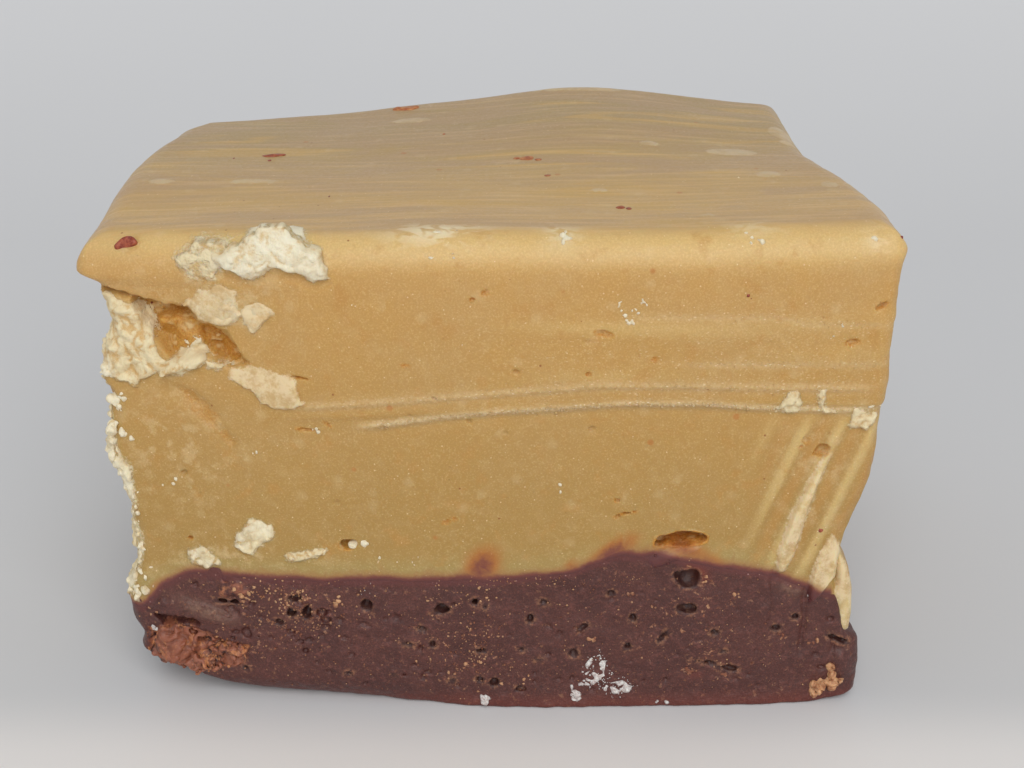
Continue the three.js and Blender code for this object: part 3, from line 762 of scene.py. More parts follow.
def paint_peanut(piece, loose=(), grown=0.0):
    """Masks for the peanut butter's material. Loose shapes are pale all over, and pale parts are grown."""
    x, y, z = places(piece).T
    wander = ragged(x, z) - grown
    behind = y - front_wall(x, z)
    front = 1 - ramp(2.8, 3.8, behind)
    clinging = coded(nearest_of(loose, x, y, z) - 0.35) if loose else 0 * x
    # pale: crumbled cream. deep: oily orange hollows, highest in the two big bubble holes, where the material paints
    # shade. veil: thin paler flakes.
    pale = coded(edge_of([BRIGHT, LEDGE, LEDGE_END] + SEAM_SCRAPS + KNIFE_SCRAPS, x, z, wander))
    soft_foot = 0.5 * (1 - ramp(29.4, 31.0, z))
    pale = np.maximum(pale, coded(edge_of([MASS], x, z, wander + 0.1 + soft_foot)))
    pale = np.maximum(pale, 0.62 * coded(edge_of([TAIL], x, z, wander - 0.5))) * front
    torn = x - left_wall(y, z) - 0.8 - 0.6 * LUMPY(x, y, z) - 0.5 * ROUGH(x, y, z) + 0.3 * ramp(10, 24, y)
    torn = coded(torn) * (1 - ramp(36.0, 37.0, z)) * ramp(-0.5, 0.5, z - seam_height(x, y) + 1.0)
    pale = np.maximum(np.maximum(pale, 0.85 * torn), clinging)
    holes = peanut_holes()
    deep = np.maximum(coded(nearest_of(holes[:2], x, y, z) * 2.5 - 0.5), coded(nearest_of(holes[2:], x, y, z) * 1.6 - 0.12))
    deep = np.maximum(0.86 * coded(edge_of([DEEP_ONE, DEEP_TWO], x, z, wander - 0.2)) * front, deep)
    deep = np.maximum(deep, 0.72 * coded(edge_of([HOLLOW], x, z, wander + grown - 0.2)) * front)
    deep = np.maximum(deep, 0.55 * coded(edge_of([GROOVE], x, z, wander - 0.5)) * front) * (1 - clinging)
    veil = coded(edge_of([FLAKE, PATCH_ONE, PATCH_TWO, TAIL], x, z, 0.8 * wander)) * front
    veil = np.maximum(veil, coded(edge_of([RIDGE_ONE, RIDGE_TWO, SLOPE, TONGUE], x, z, 0.3 * wander)) * front)
    for place_x, place_y, half_length, half_width in TOP_FLAKES:
        away = np.hypot((x - place_x) / half_length, (y - place_y) / half_width) - 1
        veil = np.maximum(veil, coded(away * half_width + 0.5 * wander) * ramp(38, 40, z))
    crown = ramp(-2.6, -0.8, z - top_height(x, y)) * ramp(1.2, 3.0, behind) * (1 - clinging)
    paint(piece, "look", pale, deep, veil, crown)
    above = above_seam(x, y, z)
    height = z - seam_height(x, y)
    on_body = 1 - (1 - ramp(-0.1, 0.5, outline_distance(TONGUE, x, z))) * (1 - ramp(5, 6, y))
    plume = spot(x, height, -1.4, 1.3, 2.1, 1.5, 66)
    plume = np.maximum(plume, 0.8 * spot(x, height, 6.0, 0.3, 0.6, 1.0))
    plume = np.maximum(plume, spot(x, height, 9.2, 0.9, 2.4, 1.0, 25))
    plume = np.maximum(plume, 0.75 * spot(x, height, 15.2, 0.9, 2.4, 1.0))
    plume = np.maximum(plume, 0.8 * spot(x, height, 17.4, 0.1, 1.6, 1.0, -15))
    plume = np.maximum(plume, 0.7 * spot(x, z, -28.6, 10.2, 0.9, 1.6, -30)) * front * on_body
    knife = along_line(MAIN_LINE, x, z, 0.32) + 0.5 * along_line(UPPER_LINE, x, z, 0.4)
    knife = knife + 0.3 * along_line(HIGH_LINE, x, z, 0.3) + 0.35 * along_line(MID_LINE, x, z, 0.3)
    # Painted highlight: soft patches along the top front edge, which the material paints pale and also makes smoother.
    sheen = spot(x, z, -4.4, 42.0, 3.4, 0.8, 2) + spot(x, z, 1.6, 42.7, 1.5, 0.4) + 0.7 * spot(x, z, 4.8, 42.0, 1.2, 0.8)
    sheen = sheen + 0.5 * spot(x, z, 19.0, 42.2, 2.2, 0.5) + 0.5 * spot(x, z, 28.6, 41.3, 0.8, 0.8)
    bled = (1 - ramp(-0.05, 1.4, above)) * on_body
    paint(piece, "marks_and_painted_light", bled, plume, knife * front, sheen * (1 - ramp(2.5, 3.5, behind)))
    green = bump(height, 0.9, 1.2) * (0.4 + 0.6 * (1 - ramp(-4, 12, x)) + 0.5 * ramp(16, 19, x) * (1 - ramp(21, 24, x)))
    pull = ramp(18, 23, x) * (1 - ramp(25.5, 28, z))
    streak_and_edge_highlight = 0.5 + 0.35 * pull * np.sin(2.3 * drag_across(x, z) + 0.3) + 0.2 * knife_band(x, z) * KNIFE(x, level(x), z)
    # Painted highlight: a pale band along the rounded top front edge, added to the drag streaks.
    streak_and_edge_highlight = streak_and_edge_highlight + 0.36 * bump(z, 41.2, 1.9) * (1 - ramp(3, 4, behind))
    white = np.maximum(1 - ramp(-0.5, 0.5, outline_distance(BRIGHT, x, z)), clinging)
    # The first of these masks is painted shade: it makes the fudge darker lower down.
    paint(piece, "tone_and_painted_light", np.clip((40 - z) / 24, 0, 1), green, streak_and_edge_highlight, white)
    bloom = spot(x, z, -21.5, 37.0, 5.5, 3.6, 20) + 0.7 * spot(x, z, -26.0, 24.0, 5.0, 6.0)
    bloom = bloom + 0.8 * spot(x, height, -22.0, 2.0, 8.0, 1.8) + 0.7 * spot(x, z, 25.5, 22.0, 3.0, 6.0)
    paint(piece, "rest", crumbly(x, y, z), bloom * front, knife_band(x, z) * front)
    put(piece, "peanut_butter_layer" if piece.name == "peanut_butter" else None)


# Chocolate layer

CHOCOLATE_HOLES = [
    (-11.0, 10.0, 0.48, 1.0, 0.42, -10), (-2.0, 10.4, 0.34, 0.9, 0.42, 0), (-4.7, 9.75, 0.75, 0.7, 0.26, 4),
    (-17.4, 9.0, 0.50, 0.8, 0.45, 20), (-16.0, 9.1, 0.40, 0.8, 0.60, -20), (-7.6, 6.4, 0.40, 0.5, 0.22, 0),
    (-6.4, 7.8, 0.30, 0.35, 0.22, 0), (-5.6, 6.3, 0.20, 0.4, 0.3, 0), (-1.6, 5.6, 0.45, 0.5, 0.22, 10),
    (2.6, 8.7, 0.22, 0.6, 0.35, 0), (3.3, 4.8, 0.36, 0.5, 0.2, 0), (1.9, 5.8, 0.2, 0.4, 0.2, 0),
    (3.7, 10.3, 0.25, 0.4, 0.15, 0), (7.0, 7.9, 0.45, 0.4, 0.16, 30), (15.6, 9.7, 0.75, 0.9, 0.45, -12),
    (10.8, 6.1, 0.26, 0.6, 0.34, 0), (11.2, 8.9, 0.22, 0.5, 0.36, 20), (13.7, 7.0, 0.12, 0.5, 0.60, -35),
    (18.0, 7.4, 0.32, 0.5, 0.2, -20), (18.9, 5.4, 0.34, 0.4, 0.18, 0), (9.2, 11.2, 0.30, 0.4, 0.22, 0),
    (15.5, 12.6, 1.00, 1.1, 0.85, -20), (24.8, 8.6, 0.26, 0.5, 0.3, 0), (17.4, 4.35, 0.9, 0.6, 0.13, -16),
    (19.2, 3.75, 0.7, 0.6, 0.13, -14), (-26.2, 6.3, 0.50, 1.0, 0.28, -12), (-25.4, 5.5, 0.6, 1.0, 0.26, -45),
    (-21.7, 3.2, 0.3, 0.5, 0.25, 0), (-22.6, 9.8, 0.8, 0.7, 0.16, -5), (-4.0, 2.6, 0.3, 0.35, 0.14, 0),
    (-12.9, 3.3, 0.35, 0.3, 0.12, 0), (-8.9, 3.3, 0.4, 0.3, 0.14, 10), (-1.6, 2.7, 0.3, 0.5, 0.25, 0),
    (-0.5, 2.4, 0.3, 0.5, 0.25, 20), (1.6, 1.9, 0.25, 0.4, 0.12, 40), (6.2, 5.4, 0.3, 0.4, 0.3, 0),
    (-1.2, 9.9, 0.2, 0.4, 0.25, 0), (-17.0, 10.4, 0.5, 0.5, 0.2, 10), (-18.4, 8.0, 0.3, 0.5, 0.2, 0),
    (28.8, 6.1, 0.9, 0.9, 0.22, -28), (23.2, 7.6, 0.4, 0.5, 0.3, 0),
]


def chocolate_holes():
    return [Blob(on_front(x, z), (wide, deep, high), turn, 0.5 * min(0.6, wide), GRIT)
            for x, z, wide, deep, high, turn in CHOCOLATE_HOLES]


def corner_chunks():
    """Broken chunks at the lower left corner, and one below the seam."""
    return [Blob(on_front(-27.8, 4.7, -0.6), (1.8, 1.2, 1.6), -12, 0.15),
            Blob(on_front(-22.9, 4.9, -0.4), (1.5, 0.7, 0.45), -6, -0.4, crumbly),
            Blob(on_front(-25.2, 3.3, -0.7), (1.6, 0.9, 0.8), 8, -0.5, crumbly),
            Blob(on_front(-22.2, 11.0, -0.5), (1.4, 0.8, 0.8), 0, -0.5, crumbly)]


def foot_lumps():
    """The bulge at the lower right corner."""
    return [Blob(on_front(29.0, 3.4, -1.2), (1.6, 1.7, 2.5), 4, 0.25)]


def chocolate_field(x, y, z):
    trim = 0.85 * np.exp(-((x + 28) / 5) ** 2 - ((y - 1) / 5) ** 2)
    trim = trim + 0.7 * np.exp(-((x - 31) / 2.6) ** 2 - (y / 5) ** 2)
    values = round_max(walls(x, y, z), (underside(x, y) + trim).astype(np.float32) - z.astype(np.float32), 0.35)
    above = above_seam(x, y, z)
    values = np.maximum(values + SEAM_STEP * np.clip(above / 0.4, -1, 1), above - SEAM_LAP)
    field = Field(x, y, z, values)
    field.cut([Blob(on_front(-31.4, 2.0, 0.3), (2.0, 3.0, 2.2), 20, 0.30)], 0.2)
    field.add(corner_chunks() + foot_lumps(), 0.12)
    field.cut(chocolate_holes(), 0.06)
    field.cut(scattered_pits(150, 41, on_front, (-27, 1.6), (28, 12), (0.12, 0.28)), 0.06)
    field.cut(scattered_pits(40, 45, on_front, (-24, 6), (-8, 12), (0.15, 0.4)), 0.06)
    field.cut(scattered_pits(70, 42, on_back, (-30, 2), (27, 11), (0.2, 0.6)), 0.15)
    field.cut(scattered_pits(40, 43, on_left, (4, 2), (38, 9), (0.25, 0.7)), 0.15)
    field.cut(scattered_pits(34, 44, on_right, (4, 2), (42, 9), (0.2, 0.6)), 0.15)
    field.values = np.maximum(field.values, -z).astype(np.float32)
    return field


def paint_chocolate(piece):
    x, y, z = places(piece).T
    wander = ragged(x, z)
    front = 1 - ramp(2.8, 4.2, y - front_wall(x, z))
    # chip: broken, redder places. bleed: softened near the seam. rim: crumbs round the holes.
    chip = coded(edge_of([CHIP], x, z, wander - 0.1)) * (1 - ramp(6, 9, y))
    chip = np.maximum(chip, coded(nearest_of(corner_chunks(), x, y, z)))
    above = above_seam(x, y, z)
    pulled = 0.9 * spot(x, z, 24.6, 11.7, 0.8, 1.2, 76) + 0.6 * spot(x, z, -24.6, 8.8, 2.4, 0.7, -20)
    holes = nearest_of(chocolate_holes(), x, y, z)
    paint(piece, "look", chip, ramp(-1.0, 0.05, above), bump(holes, 0.14, 0.13) * front, pulled * front)
    red = 0.9 * spot(x, z, 16.2, 13.2, 1.4, 1.0, -40) + 0.5 * spot(x, z, 16.6, 3.1, 1.0, 0.6) + (1 - ramp(0.3, 2.6, z)) * 0.5
    busy = 0.9 * spot(x, z, -17.5, 9.0, 3.4, 3.2) + 0.8 * spot(x, z, -3.2, 6.5, 3.6, 4.4) + 0.6 * spot(x, z, 18.0, 6.0, 3.0, 4.0)
    busy = busy + 0.5 * spot(x, z, 14.0, 9.5, 4.0, 3.0) + 0.8 * spot(x, z, -25, 4.5, 4.0, 2.5) + 0.3
    block = 1 - ramp(-0.4, 0.4, outline_distance(CHIP_BLOCK, x, z) + wander)
    # The second mask is the inside of the bubble holes, which the material paints dark as shade.
    paint(piece, "marks_and_painted_light", red * front, 1 - ramp(0.0, 0.3, holes), block * front, busy * front)
    paint(piece, "rest", crumbly(x, y, z), ramp(-0.35, 0.0, above) * (0.4 + 0.6 * ramp(-8, 0, x)))
    put(piece, "chocolate_layer" if piece.name == "chocolate" else None)


# Crusts and crumbs, meshed on fine grids of their own

def crust(layer, low, high, mask, thick, rough, step=CRUMB_STEP):
    """A crumbly skin over a layer, where a mask that is a distance is less than nought."""
    x, y, z = on_grid(*(np.arange(a, b, step) for a, b in zip(low, high)))
    skin = layer(x, y, z).values
    edge, strength = mask(x, y, z)
    rise = thick * ramp(0.1, -0.5, edge) + rough * (crumbly(x, y, z) - 0.15) * ramp(0.15, -0.25, edge)
    values = np.maximum(skin - rise * strength, np.maximum(0.8 * edge, -skin - 0.4))
    for axis in range(3):
        ends = np.moveaxis(values, axis, 0)
        ends[0] = 1.0
        ends[-1] = 1.0
    return Field(x, y, z, values).mesh()


def front_patch(layer, outline, thick, rough, fade=0.5):
    """A crust inside an outline on the front, thinning upwards."""
    low, high = np.min(outline, 0) - 0.9, np.max(outline, 0) + 0.9
    depths = [front_y(x, z) for x in (low[0], high[0]) for z in (low[1], high[1])]

    def mask(x, y, z):
        strength = 1 - fade * ramp(0.6 * low[1] + 0.4 * high[1], high[1] - 0.6, z)
        return outline_distance(outline, x, z) + ragged(x, z), strength

    return crust(layer, (low[0], min(depths) - 1.4, low[1]), (high[0], max(depths) + 2.6, high[1]), mask, thick, rough)


def torn_edge(x, y, z):
    """Mask of the crumbs that cling along the left front edge."""
    reach = 0.45 + 0.8 * LUMPY(x, y, z) + 0.6 * ROUGH(x, y, z)
    return np.maximum(x - left_wall(y, z) - reach, np.maximum(y - 9.0, np.abs(z - 22.0) - 13.2) * 0.5), 1.0


def torn_side(x, y, z):
    """Mask of the crumbs over the rest of the left-hand side."""
    return np.maximum(0.5 * np.abs(y - 23.0) - 8.0, np.abs(z - 22.0) - 13.0) - 0.9 * LUMPY(x, y, z) - 0.2, 1.0


def crumbs_on(field, spots, seed, rough=0.4, sink=0.35):
    """Chunks on the front: each spot is x, z, a count, a spread and a size."""
    rng = np.random.default_rng(seed)
    shapes = []
    for x, z, count, spread, size in spots:
        for _ in range(count):
            dx, dz = rng.normal(0, spread, 2) if count > 1 else (0, 0)
            r = size * rng.uniform(0.55, 1.0)
            found = field.front_at(x + dx, z + dz)
            if found is not None:
                shapes.append(Chunk((x + dx, found + sink * r, z + dz), r, seed + len(shapes), rough * r))
    return shapes


def cluster(x, y, z, radius, rng):
    """Crumbs heaped into a clinging lump."""
    shapes = []
    for _ in range(int(5 + 30 * radius)):
        away = rng.normal(size=3)
        away *= radius * rng.uniform(0.0, 1.1) / np.linalg.norm(away)
        size = rng.uniform(0.14, 0.38)
        shapes.append(Chunk((x + away[0], y + away[1], z + away[2]), size, rng.integers(9999), 0.15))
    return shapes


def crumb_mesh(shapes, step=CRUMB_STEP):
    """One mesh of shapes that may touch each other."""
    low = np.min([shape.centre - shape.reach for shape in shapes], 0)
    high = np.max([shape.centre + shape.reach for shape in shapes], 0)
    field = Field(*(np.arange(a - 2 * step, b + 2 * step, step) for a, b in zip(low, high)))
    field.add(shapes, 0.05)
    return field.mesh()


def near_groups(shapes, reach=4.0):
    """Shapes sorted into groups by place, so that each group is meshed on a small grid."""
    groups = {}
    for shape in shapes:
        groups.setdefault(tuple(np.round(shape.centre / reach).astype(int)), []).append(shape)
    return list(groups.values())


def dust_on(field, count, seed, small, large, where):
    """Tiny grains on the front, each a rounded cube pushed out of shape. Where gives x and z."""
    corners = [c for c in itertools.product((-1, 0, 1), repeat=3) if any(c)]
    number = {corner: i for i, corner in enumerate(corners)}
    quads = []
    for axis, side, a, b in itertools.product(range(3), (-1, 1), (-1, 0), (-1, 0)):
        ring = [(a, b), (a + 1, b), (a + 1, b + 1), (a, b + 1)]
        if (side < 0) != (axis == 1):
            ring.reverse()
        quads.append([number[(*pair[:axis], side, *pair[axis:])] for pair in ring])
    rng = np.random.default_rng(seed)
    flat = [where(rng) for _ in range(count)]
    centres = np.array([(x, y, z) for x, z in flat if (y := field.front_at(x, z)) is not None])
    count = len(centres)
    shape = np.array(corners, float)
    shape /= np.linalg.norm(shape, axis=1)[:, None] ** 0.8
    bent = shape * rng.uniform(0.7, 1.3, (count, len(corners), 1)) * rng.uniform(0.6, 1.3, (count, 1, 3))
    points = centres[:, None] + bent * rng.uniform(small, large, (count, 1, 1))
    starts = len(corners) * np.arange(count)[:, None, None]
    return points.reshape(-1, 3), (np.array(quads)[None] + starts).reshape(-1, 4)


def on_line(line, start, end, spread):
    def where(rng):
        x = rng.uniform(start, end)
        return x, line_height(line, x) + rng.normal(0, spread)
    return where


def over(low, high):
    return lambda rng: rng.uniform(low, high)


def about(x, z, spread_x, spread_z):
    return lambda rng: (rng.normal(x, spread_x), max(rng.normal(z, spread_z), 0.8))


def around(outline, margin=0.2):
    low, high = np.min(outline, 0), np.max(outline, 0)

    def where(rng):
        while True:
            x, z = rng.uniform(low - margin, high + margin)
            if outline_distance(outline, np.float64(x), np.float64(z)) < margin:
                return x, z
    return where


# Lumps of crumbs down the left front edge: x, z, radius
LEFT_LUMPS = [(-30.3, 27.4, 0.75), (-29.7, 28.0, 0.45), (-30.6, 25.3, 0.95), (-30.0, 24.6, 0.7), (-31.3, 24.0, 0.5),
              (-31.3, 22.9, 0.55), (-31.1, 21.9, 0.45), (-30.7, 21.1, 0.45), (-30.0, 20.3, 0.55), (-29.3, 19.5, 0.55),
              (-28.7, 18.9, 0.6), (-28.1, 19.6, 0.6), (-27.5, 20.1, 0.5), (-27.0, 20.7, 0.3), (-29.7, 17.6, 0.6),
              (-29.4, 16.8, 0.55), (-29.0, 16.3, 0.4), (-29.6, 14.0, 0.5), (-29.2, 13.2, 0.45), (-29.0, 12.4, 0.5),
              (-29.8, 11.6, 0.6), (-30.3, 10.6, 0.75), (-30.8, 9.7, 0.6), (-29.5, 10.3, 0.7), (-30.2, 8.9, 0.6),
              (-28.9, 11.4, 0.5), (-31.0, 30.1, 0.4), (-20.9, 15.8, 0.5), (-19.9, 16.7, 0.5), (-19.2, 17.0, 0.35),
              (-24.6, 13.7, 0.5), (-23.9, 13.3, 0.4), (-25.2, 14.1, 0.3), (-22.4, 14.9, 0.3), (-11.0, 15.8, 0.45),
              (-11.7, 15.4, 0.3)]
# Pale crumbs on the front: x, z, how many, spread, size
PALE_CRUMBS = [
    (5.1, 41.4, 5, 0.25, 0.3), (-4.9, 40.4, 3, 0.12, 0.16), (-3.3, 40.5, 3, 0.12, 0.14), (-4.5, 41.6, 3, 0.2, 0.22),
    (9.1, 36.5, 5, 0.16, 0.18), (9.6, 35.8, 4, 0.12, 0.17), (10.1, 35.2, 4, 0.12, 0.2), (10.4, 36.2, 4, 0.15, 0.14),
    (11.1, 36.8, 4, 0.2, 0.17), (19.2, 41.9, 6, 0.5, 0.2), (28.4, 41.2, 3, 0.2, 0.18), (-11.0, 36.6, 4, 0.25, 0.12),
    (-9.9, 14.3, 3, 0.2, 0.14), (-8.4, 14.2, 3, 0.25, 0.12), (-6.9, 14.1, 4, 0.3, 0.12), (4.9, 21.2, 3, 0.2, 0.16),
    (-14.4, 25.9, 3, 0.15, 0.18), (-24.1, 32.7, 2, 0.1, 0.2), (-23.4, 33.0, 1, 0, 0.14), (-2.5, 33.1, 3, 0.2, 0.13),
    (26.3, 34.6, 4, 0.3, 0.12), (27.2, 32.9, 2, 0.2, 0.12), (-26.2, 20.6, 3, 0.3, 0.14), (-19.4, 23.6, 3, 0.3, 0.14),
    (13.8, 14.9, 3, 0.5, 0.2), (29.5, 27.5, 4, 0.3, 0.2),
]


def pale_crumbs_piece(field):
    layer = peanut_butter_field
    parts = [front_patch(layer, MASS, 0.06, 0.42, 0.2), front_patch(layer, LEDGE, 0.2, 0.5, 0.2),
             front_patch(layer, LEDGE_END, 0.02, 0.5), front_patch(layer, BRIGHT, 0.14, 0.5, 0.9),
             front_patch(layer, TAIL, -0.11, 0.45, 0.6), front_patch(layer, PATCH_ONE, -0.1, 0.42, 0.4),
             front_patch(layer, PATCH_TWO, -0.08, 0.42, 0.4), front_patch(layer, HOLLOW, -0.16, 0.45, 0.0)]
    parts += [front_patch(layer, outline, -0.05, 0.5) for outline in SEAM_SCRAPS + KNIFE_SCRAPS]
    parts += [crust(layer, (-33.9, 0.8, 8.2), (-29.0, 9.4, 36.0), torn_edge, -0.10, 0.75),
              crust(layer, (-34.4, 8.0, 8.4), (-29.6, 38.5, 35.6), torn_side, -0.16, 0.9, 1.8 * CRUMB_STEP)]
    rng = np.random.default_rng(51)
    loose = crumbs_on(field, PALE_CRUMBS, 700)
    for x, z, r in LEFT_LUMPS:
        loose += cluster(x, front_y(max(x, -30.4), z) + 0.55, z, r, rng)
    parts += [crumb_mesh(group) for group in near_groups(loose)]
    parts += [dust_on(field, 260, 61, 0.04, 0.10, on_line(MAIN_LINE, -9.5, 22.5, 0.16)),
              dust_on(field, 150, 62, 0.03, 0.07, on_line(UPPER_LINE, -11.0, 28.0, 0.30)),
              dust_on(field, 90, 63, 0.03, 0.06, on_line(MID_LINE, 14.5, 29.5, 0.2)),
              dust_on(field, 60, 64, 0.03, 0.06, on_line(HIGH_LINE, 10.5, 29.5, 0.2)),
              dust_on(field, 60, 70, 0.04, 0.10, around(HOLLOW)),
              dust_on(field, 160, 71, 0.03, 0.06, over((-28, 15), (27, 41)))]
    material = peanut_butter_material("peanut_butter_crumbs", 0.06)
    paint_peanut(new_piece("pale_crumbs", parts, CRUMB_FACES, material), loose, 0.3)


# Tan and orange crumbs on the chocolate: x, z, how many, spread, size
TAN_CRUMBS = [
    (-13.5, 10.3, 5, 0.3, 0.22), (-17.4, 10.4, 12, 0.7, 0.15), (-16.7, 7.4, 6, 0.3, 0.18), (-15.6, 8.5, 5, 0.25, 0.15),
    (-17.9, 9.8, 5, 0.3, 0.14), (-20.9, 11.0, 14, 0.8, 0.16), (-20.9, 10.2, 6, 0.4, 0.18), (-5.8, 10.5, 2, 0.15, 0.13),
    (-3.4, 10.4, 3, 0.2, 0.15), (-1.2, 10.6, 4, 0.2, 0.13), (-1.0, 11.7, 6, 0.3, 0.12), (-4.9, 11.6, 4, 0.25, 0.12),
    (-4.2, 7.3, 3, 0.2, 0.15), (-2.5, 8.1, 3, 0.2, 0.15), (-3.2, 8.4, 2, 0.2, 0.16), (-3.6, 4.0, 7, 0.35, 0.17),
    (-2.2, 4.4, 4, 0.2, 0.15), (-5.9, 4.6, 3, 0.2, 0.13), (-7.1, 4.2, 2, 0.2, 0.12), (2.3, 3.0, 5, 0.2, 0.16),
    (0.3, 2.3, 3, 0.2, 0.16), (0.3, 7.0, 2, 0.15, 0.14), (7.8, 6.7, 5, 0.2, 0.18), (19.9, 11.0, 5, 0.35, 0.18),
    (23.7, 6.7, 6, 0.2, 0.18), (14.2, 9.3, 3, 0.25, 0.22), (12.9, 9.7, 3, 0.25, 0.17), (11.1, 11.3, 3, 0.25, 0.25),
    (16.0, 3.5, 4, 0.25, 0.26), (19.1, 3.1, 3, 0.25, 0.22), (18.2, 4.3, 6, 0.5, 0.12), (16.8, 12.4, 4, 0.3, 0.2),
    (15.6, 14.2, 4, 0.4, 0.18), (26.5, 6.0, 5, 0.2, 0.22), (26.3, 10.0, 4, 0.2, 0.13), (18.0, 7.8, 3, 0.3, 0.12),
    (17.4, 9.6, 3, 0.3, 0.15), (-22.9, 5.0, 12, 0.5, 0.17), (-24.6, 4.9, 6, 0.4, 0.16), (-25.3, 3.2, 14, 0.7, 0.18),
    (-22.9, 3.4, 5, 0.4, 0.13), (-23.3, 7.0, 5, 0.3, 0.16), (-25.3, 8.9, 6, 1.0, 0.12), (-29.8, 8.2, 6, 0.5, 0.18),
    (-14.6, 12.2, 6, 0.7, 0.11), (4.4, 12.6, 4, 0.6, 0.10), (28.3, 11.2, 4, 0.3, 0.14), (-19.0, 11.2, 4, 0.2, 0.2),
]
# The tan heap at the lower right corner: x, z, radius
FOOT_HEAP = [(28.2, 3.4, 0.45), (28.4, 2.7, 0.55), (28.0, 1.9, 0.6), (27.2, 1.5, 0.6), (29.0, 2.1, 0.55), (26.9, 0.9, 0.35)]


def chocolate_crumbs_piece(field):
    rng = np.random.default_rng(52)
    crumbs = crumbs_on(field, TAN_CRUMBS, 900, 0.6, 0.5)
    heap = []
    for x, z, r in FOOT_HEAP:
        heap += cluster(x, field.front_at(x, z) + 0.15, z, r, rng)
    parts = [crumb_mesh(group, 0.8 * CRUMB_STEP) for group in near_groups(crumbs + heap)]
    parts += [dust_on(field, 420, 81, 0.03, 0.08, over((-27, 1.5), (27, 12.5))),
              dust_on(field, 160, 82, 0.04, 0.10, about(-17.5, 9.0, 2.2, 1.4)),
              dust_on(field, 130, 83, 0.04, 0.10, about(-3.0, 6.0, 2.0, 2.2)),
              dust_on(field, 110, 84, 0.05, 0.12, around(CHIP, 0.1)),
              dust_on(field, 90, 85, 0.03, 0.07, over((-3, 11.9), (13, 13.0)))]
    piece = new_piece("chocolate_crumbs", parts, CRUMB_FACES, chocolate_crumb_material())
    x, y, z = places(piece).T
    tan = np.maximum(coded(nearest_of(heap, x, y, z) - 0.3), 0.6 * ramp(9.4, 10.5, z) * (1 - ramp(2, 6, x)))
    paint(piece, "look", crumbly(x, y, z), tan, 1 - ramp(0.4, 1.4, outline_distance(CHIP, x, z)))
    put(piece)


def chip_piece():
    """The crumbled break at the lower left, and crumbled edges of the flake over it."""
    parts = [front_patch(chocolate_field, CHIP, -0.05, 0.6, 0.0), front_patch(chocolate_field, CHIP_FLAKE, -0.12, 0.45, 0.6)]
    paint_chocolate(new_piece("chocolate_chip", parts, CRUMB_FACES, bpy.data.materials["chocolate_fudge"]))


def white_crumbs_piece(field):
    """Sugary crumbs and thin smears on the chocolate."""
    parts = [front_patch(chocolate_field, outline, -0.13, 0.5, 0.0) for outline in SMEARS]
    crumbs = crumbs_on(field, [(-1.3, 0.8, 2, 0.1, 0.42), (-1.0, 1.0, 3, 0.12, 0.25), (6.6, 1.0, 4, 0.2, 0.4),
                               (6.3, 1.6, 4, 0.25, 0.25), (13.5, 0.5, 2, 0.1, 0.18), (14.3, 0.5, 2, 0.1, 0.18),
                               (7.1, 2.6, 3, 0.2, 0.2), (-29.5, 6.2, 3, 0.2, 0.28), (11.5, 2.0, 2, 0.15, 0.13),
                               (-11.0, 11.7, 4, 0.25, 0.12), (-11.6, 11.1, 2, 0.1, 0.1), (25.9, 10.2, 3, 0.2, 0.14)], 1900, 0.5)
    parts += [crumb_mesh(group) for group in near_groups(crumbs)]
    parts += [dust_on(field, 60, 91, 0.03, 0.08, around(SMEARS[0], 0.5)), dust_on(field, 30, 92, 0.03, 0.07, around(SMEARS[1], 0.4))]
    put(new_piece("white_crumbs", parts, CRUMB_FACES, white_crumb_material()))


# Peanut skins in the top: x, y, half width and turn
TOP_SKINS = [(-20.7, 25.4, 1.3, 3), (-9.6, 41.2, 1.3, 8), (2.3, 21.6, 0.7, 0), (3.4, 21.3, 0.35, 0), (1.5, 21.9, 0.4, 0),
             (9.6, 8.0, 0.4, 0), (10.3, 7.7, 0.25, 0), (-23.9, 24.1, 0.14, 0), (-20.6, 23.4, 0.22, 0), (-5.3, 30.6, 0.2, 0),
             (4.1, 16.7, 0.4, 0), (-13.9, 12.0, 0.1, 0)]


def peanut_skins_piece(field):
    """Dark red flecks of peanut skin."""
    shapes = [Blob((-28.4, field.front_at(-28.4, 40.3) + 0.1, 40.3), (0.66, 0.25, 0.9), -24, 0.35, GRIT)]
    for x, y, wide, turn in TOP_SKINS:
        size = (wide, 0.3 + 0.3 * wide, 0.1 + 0.08 * wide)
        shapes.append(Blob((x, y, field.top_at(x, y) - 0.05), size, turn, 0.25 * min(wide, 0.8), GRIT))
    shapes += crumbs_on(field, [(18.95, 37.3, 2, 0.12, 0.16), (24.4, 37.2, 1, 0, 0.08), (26.2, 17.0, 2, 0.1, 0.2),
                                (25.0, 15.6, 1, 0, 0.12), (7.9, 36.7, 1, 0, 0.10), (-27.2, 35.0, 2, 0.2, 0.2),
                                (-26.6, 33.6, 2, 0.2, 0.16)], 2100, 0.6, 0.7)
    shapes.append(Chunk((30.3, 1.9, 41.2), 0.28, 2300, 0.15))
    piece = new_piece("peanut_skins", [crumb_mesh([shape]) for shape in shapes], CRUMB_FACES, skin_material())
    put(piece)


# Materials

